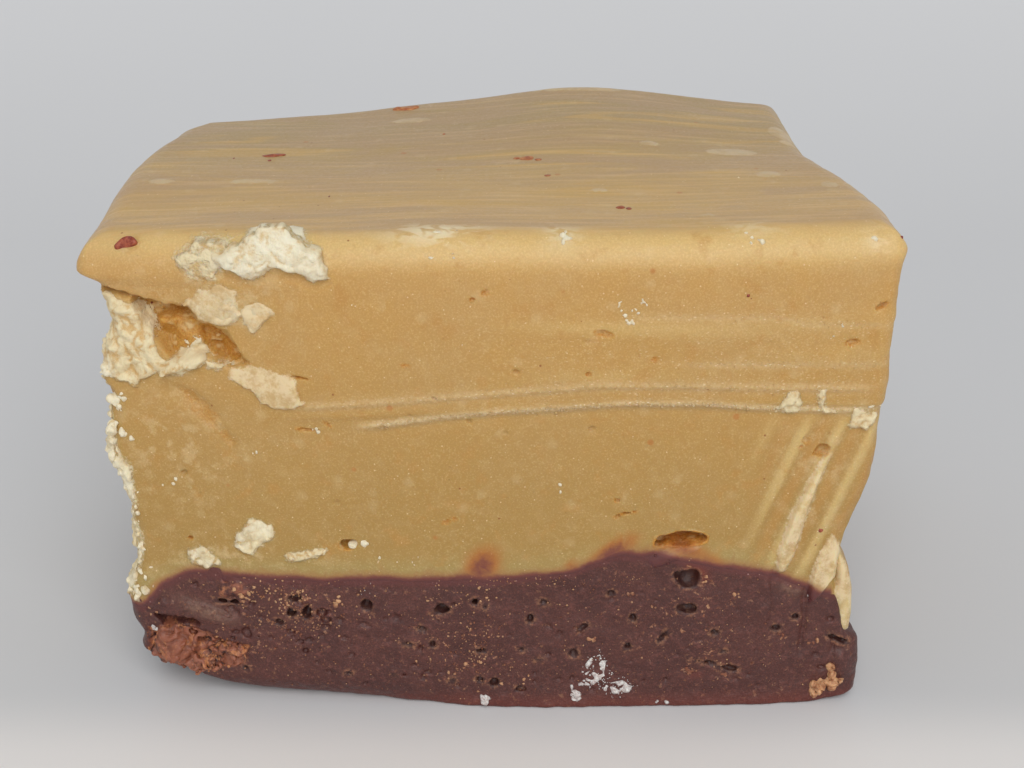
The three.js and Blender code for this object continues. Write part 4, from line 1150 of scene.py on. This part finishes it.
class Shader:
    """Short ways to add nodes to one material."""

    def __init__(self, name):
        self.material = bpy.data.materials.new(name)
        self.material.use_nodes = True
        self.tree = self.material.node_tree
        self.tree.nodes.clear()
        self.out = self.tree.nodes.new("ShaderNodeOutputMaterial")
        self.surface = self.tree.nodes.new("ShaderNodeBsdfPrincipled")
        self.tree.links.new(self.surface.outputs[0], self.out.inputs["Surface"])
        coordinates = self.tree.nodes.new("ShaderNodeTexCoord")
        self.place = self.scaled(coordinates.outputs["Object"], (1000, 1000, 1000))

    def link(self, value, socket):
        if isinstance(value, bpy.types.NodeSocket):
            self.tree.links.new(value, socket)
        else:
            socket.default_value = value

    def scaled(self, vector, scale, turn=(0, 0, 0)):
        node = self.tree.nodes.new("ShaderNodeMapping")
        self.link(vector, node.inputs["Vector"])
        node.inputs["Scale"].default_value = scale
        node.inputs["Rotation"].default_value = [math.radians(a) for a in turn]
        return node.outputs[0]

    def noise(self, scale, detail=2.0, roughness=0.5, vector=None, distortion=0.0):
        node = self.tree.nodes.new("ShaderNodeTexNoise")
        self.link(self.place if vector is None else vector, node.inputs["Vector"])
        node.inputs["Scale"].default_value = scale
        node.inputs["Detail"].default_value = detail
        node.inputs["Roughness"].default_value = roughness
        node.inputs["Distortion"].default_value = distortion
        return node.outputs["Fac"]

    def cells(self, scale, vector=None):
        node = self.tree.nodes.new("ShaderNodeTexVoronoi")
        self.link(self.place if vector is None else vector, node.inputs["Vector"])
        node.inputs["Scale"].default_value = scale
        return node.outputs["Distance"], self.split(node.outputs["Color"])

    def split(self, colour):
        node = self.tree.nodes.new("ShaderNodeSeparateColor")
        self.link(colour, node.inputs[0])
        return node.outputs[0], node.outputs[1], node.outputs[2]

    def masks(self, name):
        node = self.tree.nodes.new("ShaderNodeAttribute")
        node.attribute_name = name
        return (*self.split(node.outputs["Color"]), node.outputs["Alpha"])

    def math(self, kind, a, b=0.0):
        node = self.tree.nodes.new("ShaderNodeMath")
        node.operation = kind
        self.link(a, node.inputs[0])
        self.link(b, node.inputs[1])
        return node.outputs[0]

    def times(self, a, b):
        return self.math("MULTIPLY", a, b)

    def most(self, *values):
        out = values[0]
        for value in values[1:]:
            out = self.math("MAXIMUM", out, value)
        return out

    def steps(self, value, low, high, to_low=0.0, to_high=1.0):
        node = self.tree.nodes.new("ShaderNodeMapRange")
        node.interpolation_type = "SMOOTHSTEP"
        self.link(value, node.inputs["Value"])
        node.inputs["From Min"].default_value = low
        node.inputs["From Max"].default_value = high
        node.inputs["To Min"].default_value = to_low
        node.inputs["To Max"].default_value = to_high
        return node.outputs["Result"]

    def moved(self, mask, wobble, amount):
        """A mask pushed up and down by a noise about a half."""
        return self.math("ADD", mask, self.times(self.math("SUBTRACT", wobble, 0.5), amount))

    def crisp(self, mask, wobble, amount, width):
        """A coded mask cut sharp again, its edge moved by a noise."""
        return self.steps(self.moved(mask, wobble, amount), 0.5 - width, 0.5 + width)

    def dots(self, scale, small, large, share, vector=None):
        """Scattered round dots, as a mask: radius from small to large of a cell, in a share of the cells."""
        distance, (pick, _, _) = self.cells(scale, vector)
        return self.times(self.steps(distance, small, large, 1.0, 0.0), self.steps(pick, 1 - share, 1.01 - share))

    def mix(self, part, a, b):
        node = self.tree.nodes.new("ShaderNodeMix")
        node.data_type = "RGBA"
        self.link(part, node.inputs[0])
        self.link(a, node.inputs[6])
        self.link(b, node.inputs[7])
        return node.outputs[2]

    def raise_by(self, height, strength, distance, normal=None):
        node = self.tree.nodes.new("ShaderNodeBump")
        self.link(height, node.inputs["Height"])
        node.inputs["Strength"].default_value = strength
        node.inputs["Distance"].default_value = distance
        if normal is not None:
            self.link(normal, node.inputs["Normal"])
        return node.outputs[0]

    def finish(self, colour, roughness, normal, specular=0.4, scatter=0.0, radius=(1.0, 0.5, 0.25), reach=0.002):
        self.link(colour, self.surface.inputs["Base Color"])
        self.link(roughness, self.surface.inputs["Roughness"])
        self.link(normal, self.surface.inputs["Normal"])
        self.surface.inputs["Specular IOR Level"].default_value = specular
        self.surface.inputs["Subsurface Weight"].default_value = scatter
        self.surface.inputs["Subsurface Radius"].default_value = radius
        self.surface.inputs["Subsurface Scale"].default_value = reach
        return self.material


def shade(red, green, blue):
    """A colour given as it looks on a screen, 0 to 255, as the renderer's linear value."""
    parts = [part / 255 for part in (red, green, blue)]
    return (*[part / 12.92 if part <= 0.04045 else ((part + 0.055) / 1.055) ** 2.4 for part in parts], 1.0)


def peanut_butter_material(name, scatter):
    s = Shader(name)
    pale, deep, veil, top = s.masks("look")
    bleed, plume, knife, sheen = s.masks("marks_and_painted_light")
    low, green, streak_and_edge_highlight, white = s.masks("tone_and_painted_light")
    height, bloom, band, _ = s.masks("rest")
    wobble = s.noise(3.2, 3.0, 0.65)
    grain = s.noise(6.5, 3.0, 0.65)
    blotch = s.noise(0.75, 4.0, 0.62)
    far = s.scaled(s.place, (1, 1, 1), (40, 25, 10))
    colour = s.mix(s.steps(s.noise(0.13, 3.0, 0.55), 0.36, 0.64), shade(202, 157, 88), shade(200, 158, 95))
    # Painted shade: darker and browner towards the bottom of the layer.
    colour = s.mix(s.times(low, 0.85), colour, shade(166, 133, 70))
    # Pale on the ridges of the drag streaks and as a painted highlight along the rounded top front edge; browner in the
    # troughs of the streaks.
    colour = s.mix(s.steps(streak_and_edge_highlight, 0.5, 0.95, 0.0, 0.55), colour, shade(230, 204, 140))
    colour = s.mix(s.steps(streak_and_edge_highlight, 0.1, 0.5, 0.4, 0.0), colour, shade(190, 136, 66))
    colour = s.mix(s.times(green, 0.55), colour, shade(164, 152, 98))
    colour = s.mix(s.steps(s.noise(0.5, 3.0, 0.6, far), 0.54, 0.72, 0.0, 0.45), colour, shade(190, 138, 66))
    milky = s.times(s.steps(blotch, 0.47, 0.66), s.steps(bloom, 0.0, 1.0, 0.08, 0.5))
    colour = s.mix(milky, colour, shade(222, 196, 148))
    colour = s.mix(s.steps(grain, 0.33, 0.62, 0.16, 0.0), colour, shade(158, 112, 58))
    colour = s.mix(s.steps(grain, 0.5, 0.72, 0.0, 0.2), colour, shade(238, 212, 162))
    # The top is greyer, with level bands of grey and yellow
    swirl = s.noise(0.13, 2.0, 0.5, s.scaled(s.place, (0.35, 1.6, 1.0), (0, 0, 4)), 1.2)
    threads = s.noise(0.5, 3.0, 0.6, s.scaled(s.place, (0.22, 3.2, 1.0)))
    crown = s.mix(s.steps(s.split(s.place)[1], -20, 14), shade(207, 169, 108), shade(174, 145, 94))
    crown = s.mix(s.steps(swirl, 0.46, 0.60, 0.0, 0.5), crown, shade(184, 151, 114))
    crown = s.mix(s.steps(swirl, 0.34, 0.44, 0.6, 0.0), crown, shade(206, 166, 90))
    crown = s.mix(s.steps(threads, 0.4, 0.6, 0.2, 0.0), crown, shade(160, 128, 92))
    crown = s.mix(s.steps(threads, 0.52, 0.7, 0.0, 0.25), crown, shade(224, 192, 142))
    colour = s.mix(top, colour, crown)
    # Oily brown dots, orange spots, sugary dots and faint pale rounds
    colour = s.mix(s.times(s.dots(0.62, 0.03, 0.08, 0.20), 0.85), colour, shade(146, 84, 38))
    colour = s.mix(s.times(s.dots(1.3, 0.05, 0.10, 0.07), 0.7), colour, shade(160, 100, 50))
    colour = s.mix(s.times(s.dots(0.3, 0.05, 0.10, 0.22), 0.6), colour, shade(184, 112, 46))
    sugar = s.most(s.dots(2.6, 0.08, 0.20, 0.10), s.dots(1.5, 0.05, 0.12, 0.12))
    colour = s.mix(s.times(sugar, 0.6), colour, shade(240, 220, 178))
    colour = s.mix(s.times(s.dots(0.7, 0.05, 0.5, 0.15), 0.16), colour, shade(228, 206, 162))
    # Along the knife lines: pale dots painted as the glints of sugar grains (painted highlights), dark grains and pale
    # scraped fudge.
    dragged = s.scaled(s.place, (1.4, 1.0, 3.0), (0, 2, 0))
    sparkle = s.most(s.dots(1.5, 0.12, 0.28, 0.30, dragged), s.dots(2.6, 0.12, 0.3, 0.22, dragged))
    dark = s.dots(2.2, 0.10, 0.26, 0.20, s.scaled(dragged, (1, 1, 1), (0, 0, 35)))
    colour = s.mix(s.times(s.times(band, sparkle), 0.30), colour, shade(240, 220, 180))
    colour = s.mix(s.times(knife, s.steps(wobble, 0.35, 0.6, 0.3, 0.75)), colour, shade(230, 206, 162))
    colour = s.mix(s.times(knife, s.times(dark, 0.8)), colour, shade(150, 110, 64))
    colour = s.mix(s.times(knife, s.times(sparkle, 0.9)), colour, shade(248, 234, 204))
    # Painted highlight: pale patches over the glossy top front edge, broken up by a noise.
    glossy = s.noise(0.9, 2.0, 0.5, s.scaled(s.place, (0.6, 1.0, 1.3)), 0.6)
    colour = s.mix(s.times(sheen, s.steps(glossy, 0.42, 0.56, 0.05, 0.85)), colour, shade(240, 226, 190))
    flake = s.crisp(veil, wobble, 0.5, 0.08)
    speckle = s.steps(s.moved(blotch, wobble, 0.4), 0.36, 0.62, 0.3, 0.8)
    colour = s.mix(s.times(flake, speckle), colour, s.mix(top, shade(230, 210, 170), shade(206, 182, 142)))
    hollow = s.steps(s.moved(deep, wobble, 0.35), 0.32, 0.9)
    oily = s.mix(s.steps(grain, 0.38, 0.62), shade(192, 124, 36), shade(208, 152, 66))
    # Painted shade: darker brown deep inside the two big bubble holes.
    oily = s.mix(s.steps(deep, 0.86, 1.0, 0.0, 0.85), oily, shade(140, 80, 36))
    colour = s.mix(hollow, colour, s.mix(s.steps(height, 0.4, 0.8), oily, shade(222, 186, 128)))
    broken = s.crisp(pale, wobble, 0.7, 0.14)
    # Crumbs are painted darker and tan in the creases between grains (painted shade) and cream on their tops.
    bits = s.moved(height, grain, 0.5)
    crumb = s.mix(s.steps(bits, 0.04, 0.46), shade(216, 176, 116), shade(242, 224, 182))
    bright = s.mix(s.steps(bits, 0.0, 0.36), shade(232, 206, 158), shade(252, 243, 216))
    crumb = s.mix(s.times(white, 0.85), crumb, bright)
    colour = s.mix(s.times(broken, s.steps(blotch, 0.30, 0.60, 0.65, 1.0)), colour, crumb)
    soaked = s.moved(s.most(bleed, s.times(plume, 0.8)), wobble, 0.3)
    colour = s.mix(s.steps(plume, 0.10, 0.75, 0.0, 0.85), colour, shade(176, 104, 40))
    colour = s.mix(s.steps(bleed, 0.0, 0.5, 0.0, 0.6), colour, shade(160, 112, 66))
    colour = s.mix(s.steps(soaked, 0.4, 0.85), colour, shade(122, 66, 56))
    colour = s.mix(s.steps(bleed, 0.75, 1.0), colour, shade(96, 50, 48))
    normal = s.raise_by(grain, 0.35, 0.00005)
    loose = s.most(broken, s.times(hollow, 0.9), s.times(knife, 0.6), s.times(milky, 0.5))
    normal = s.raise_by(s.times(s.noise(2.6, 4.0, 0.75), loose), 0.8, 0.00030, normal)
    normal = s.raise_by(flake, 0.4, 0.00008, normal)
    roughness = s.math("ADD", s.steps(wobble, 0.3, 0.7, 0.42, 0.55), s.times(broken, 0.15))
    roughness = s.math("SUBTRACT", roughness, s.times(s.most(top, sheen, hollow), 0.10))
    return s.finish(colour, roughness, normal, 0.45, scatter, (1.0, 0.55, 0.22), 0.0018)


def white_crumb_material():
    s = Shader("white_crumb")
    fine = s.noise(4.0, 4.0, 0.7)
    colour = s.mix(s.steps(fine, 0.35, 0.65), shade(178, 160, 156), shade(230, 226, 220))
    return s.finish(colour, s.steps(fine, 0.3, 0.7, 0.45, 0.65), s.raise_by(fine, 0.6, 0.0001), 0.4, 0.3, (1, 0.8, 0.7), 0.001)


def skin_material():
    s = Shader("peanut_skin")
    fine = s.noise(2.2, 4.0, 0.7)
    up = s.steps(s.split(s.place)[2], 41.6, 42.4)
    dark = s.mix(s.steps(fine, 0.38, 0.62), shade(120, 40, 26), shade(166, 84, 56))
    light = s.mix(s.steps(fine, 0.38, 0.62), shade(160, 88, 50), shade(196, 136, 84))
    normal = s.raise_by(fine, 0.6, 0.0001)
    return s.finish(s.mix(up, dark, light), s.steps(fine, 0.3, 0.7, 0.35, 0.55), normal, 0.5, 0.1, (1, 0.3, 0.2), 0.0005)


def chocolate_material():
    s = Shader("chocolate_fudge")
    chip, bleed, rim, pulled = s.masks("look")
    red, hole_shade, block, busy = s.masks("marks_and_painted_light")
    height, sparkle, _, _ = s.masks("rest")
    fine = s.noise(2.4, 4.0, 0.68)
    grain = s.noise(7.0, 3.0, 0.65)
    level_grain = s.noise(1.8, 4.0, 0.72, s.scaled(s.place, (0.9, 1.0, 1.1)))
    colour = s.mix(s.steps(s.noise(0.22, 3.0, 0.55), 0.35, 0.65), shade(80, 42, 37), shade(92, 50, 43))
    colour = s.mix(s.steps(level_grain, 0.50, 0.68, 0.0, 0.5), colour, shade(126, 74, 65))
    colour = s.mix(s.steps(grain, 0.35, 0.6, 0.5, 0.0), colour, shade(62, 34, 32))
    colour = s.mix(s.steps(grain, 0.56, 0.74, 0.0, 0.35), colour, shade(146, 100, 90))
    colour = s.mix(s.times(s.dots(0.8, 0.06, 0.20, 0.22), 0.6), colour, shade(58, 32, 30))
    colour = s.mix(s.steps(red, 0.1, 1.0, 0.0, 0.7), colour, shade(130, 54, 38))
    # Tan and orange flecks where crumbs were dragged out
    flecks = s.steps(s.noise(1.7, 4.0, 0.75, s.scaled(s.place, (1.0, 1.0, 1.1), (0, 35, 0))), 0.59, 0.65)
    tan = s.mix(s.steps(fine, 0.4, 0.6), shade(150, 88, 58), shade(196, 144, 108))
    colour = s.mix(s.times(flecks, s.times(busy, 0.85)), colour, tan)
    colour = s.mix(s.times(rim, s.steps(fine, 0.44, 0.60, 0.0, 0.9)), colour, shade(170, 116, 84))
    # Painted shade: dark inside the bubble holes.
    colour = s.mix(s.times(hole_shade, 0.7), colour, shade(50, 28, 26))
    broken = s.crisp(chip, fine, 0.6, 0.14)
    # Broken rubble is painted near black in its creases (painted shade) and orange-brown on its grains.
    rubble = s.mix(s.steps(s.moved(height, fine, 1.2), 0.1, 0.5), shade(66, 34, 30), shade(146, 88, 66))
    rubble = s.mix(s.steps(s.noise(0.9, 4.0, 0.7), 0.53, 0.62, 0.0, 0.8), rubble, shade(198, 130, 84))
    rubble = s.mix(s.times(block, s.steps(fine, 0.3, 0.6, 0.8, 0.4)), rubble, shade(142, 80, 56))
    colour = s.mix(broken, colour, rubble)
    colour = s.mix(s.times(pulled, s.steps(fine, 0.35, 0.6, 0.2, 0.7)), colour, shade(158, 126, 104))
    colour = s.mix(s.steps(bleed, 0.3, 1.0, 0.0, 0.75), colour, shade(100, 50, 47))
    colour = s.mix(s.times(s.times(sparkle, s.dots(3.2, 0.1, 0.3, 0.25)), 0.9), colour, shade(206, 160, 150))
    normal = s.raise_by(level_grain, 0.6, 0.00022)
    normal = s.raise_by(grain, 0.5, 0.00006, normal)
    return s.finish(colour, s.steps(fine, 0.3, 0.7, 0.36, 0.55), normal, 0.45, 0.12, (1.0, 0.4, 0.2), 0.001)


def chocolate_crumb_material():
    s = Shader("chocolate_crumb")
    height, tan, chip, _ = s.masks("look")
    fine = s.noise(3.2, 4.0, 0.7)
    pick = s.noise(0.9, 2.0, 0.5)
    colour = s.mix(s.steps(pick, 0.42, 0.58), shade(132, 80, 58), shade(190, 140, 104))
    # Crumbs are painted darker in the creases between grains (painted shade) and lighter on their tops.
    bits = s.moved(height, fine, 0.6)
    colour = s.mix(s.steps(bits, 0.1, 0.5, 0.6, 0.0), colour, shade(108, 62, 48))
    colour = s.mix(s.times(tan, 0.85), colour, s.mix(s.steps(bits, 0.1, 0.5), shade(170, 112, 74), shade(222, 172, 126)))
    orange = s.mix(s.steps(height, 0.12, 0.7), shade(120, 64, 44), shade(188, 122, 76))
    colour = s.mix(s.times(chip, s.steps(pick, 0.52, 0.62, 0.9, 0.35)), colour, orange)
    normal = s.raise_by(fine, 0.6, 0.0001)
    return s.finish(colour, s.steps(fine, 0.3, 0.7, 0.5, 0.7), normal, 0.4, 0.2, (1.0, 0.5, 0.3), 0.0008)


def floor_material():
    s = Shader("plain_floor")
    colour = s.mix(s.noise(0.004, 2.0), shade(206, 206, 207), shade(212, 212, 213))
    # Painted light: the floor is painted lighter towards the camera, in front of the food.
    colour = s.mix(s.steps(s.split(s.place)[1], -31, -20, 0.95, 0.0), colour, shade(234, 231, 229))
    normal = s.raise_by(s.noise(0.05, 3.0), 0.05, 0.001)
    return s.finish(colour, s.steps(s.noise(0.02, 2.0), 0.3, 0.7, 0.75, 0.8), normal, 0.2)


# Camera, light and floor

FOCAL_PIXELS = 1400.0
PICTURE_WIDTH = 1024
SENSOR = 36.0
CAMERA_PLACE = np.array([1.07, -99.32, 72.93])
CAMERA_DOWN = 23.34
FLOOR_HALF = 1500.0
FLOOR_FLAT_TO = 110.0


def add_camera():
    data = bpy.data.cameras.new("camera")
    data.sensor_width = SENSOR
    data.lens = FOCAL_PIXELS / PICTURE_WIDTH * SENSOR
    data.clip_start = 0.005
    camera = bpy.data.objects.new("camera", data)
    camera.location = Vector([float(v) for v in (CAMERA_PLACE - MIDDLE) * MM])
    camera.rotation_euler = (math.radians(90 - CAMERA_DOWN), 0, 0)
    bpy.context.scene.collection.objects.link(camera)
    bpy.context.scene.camera = camera


def add_sun(name, heading, height, strength, spread):
    """Soft light from far away: heading in degrees to the right of the camera, height above the floor."""
    data = bpy.data.lights.new(name, "SUN")
    data.energy = strength
    data.angle = math.radians(spread)
    light = bpy.data.objects.new(name, data)
    light.rotation_euler = (math.radians(90 - height), 0, math.radians(heading))
    bpy.context.scene.collection.objects.link(light)


def add_world():
    world = bpy.data.worlds.new("soft_room")
    world.use_nodes = True
    back = world.node_tree.nodes["Background"]
    back.inputs["Color"].default_value = (0.96, 0.98, 1.0, 1)
    back.inputs["Strength"].default_value = 0.45
    bpy.context.scene.world = world


def add_floor():
    """A plain sheet that lies flat under the food and rises gently far behind it."""
    depths = np.concatenate([[-FLOOR_HALF], np.linspace(FLOOR_FLAT_TO, 600, 40)])
    rise = 0.45 * np.maximum(depths - FLOOR_FLAT_TO, 0) ** 2 / 500
    rows = [[(side * MM, y * MM, z * MM) for side in (-FLOOR_HALF, FLOOR_HALF)] for y, z in zip(depths, rise)]
    faces = [(2 * i, 2 * i + 1, 2 * i + 3, 2 * i + 2) for i in range(len(rows) - 1)]
    mesh = bpy.data.meshes.new("floor")
    mesh.from_pydata([point for row in rows for point in row], [], faces)
    mesh.polygons.foreach_set("use_smooth", np.full(len(faces), True))
    floor = bpy.data.objects.new("floor", mesh)
    bpy.context.scene.collection.objects.link(floor)
    floor.data.materials.append(floor_material())


def add_stage():
    add_camera()
    add_world()
    add_floor()
    add_sun("window", 8, 40, 1.85, 55)
    bpy.context.scene.view_settings.view_transform = "Standard"


def deep_lines():
    """Grid lines along y, closest together near the front."""
    line = [-2.4]
    while line[-1] < 48.8:
        behind = ramp(3.5, 7.5, line[-1]) * (1 - 0.4 * ramp(38.0, 41.0, line[-1]))
        line.append(line[-1] + FRONT_STEP + (BACK_STEP - FRONT_STEP) * behind)
    return np.array(line)


def add_food():
    x, y = lines(-35.0, 34.5, STEP, -31.5, -14.0), deep_lines()
    z = lines(-0.9, 45.4, STEP, 27.5, 37.5)
    peanut = peanut_butter_field(*on_grid(x, y, z[z > 4.0]))
    material = peanut_butter_material("peanut_butter_fudge", 0.35)
    paint_peanut(new_piece("peanut_butter", [peanut.mesh()], LAYER_FACES, material))
    chocolate = chocolate_field(*on_grid(x, y, z[z < 17.0]))
    paint_chocolate(new_piece("chocolate", [chocolate.mesh()], LAYER_FACES, chocolate_material()))
    pale_crumbs_piece(peanut)
    chocolate_crumbs_piece(chocolate)
    chip_piece()
    white_crumbs_piece(chocolate)
    peanut_skins_piece(peanut)


add_stage()
add_food()
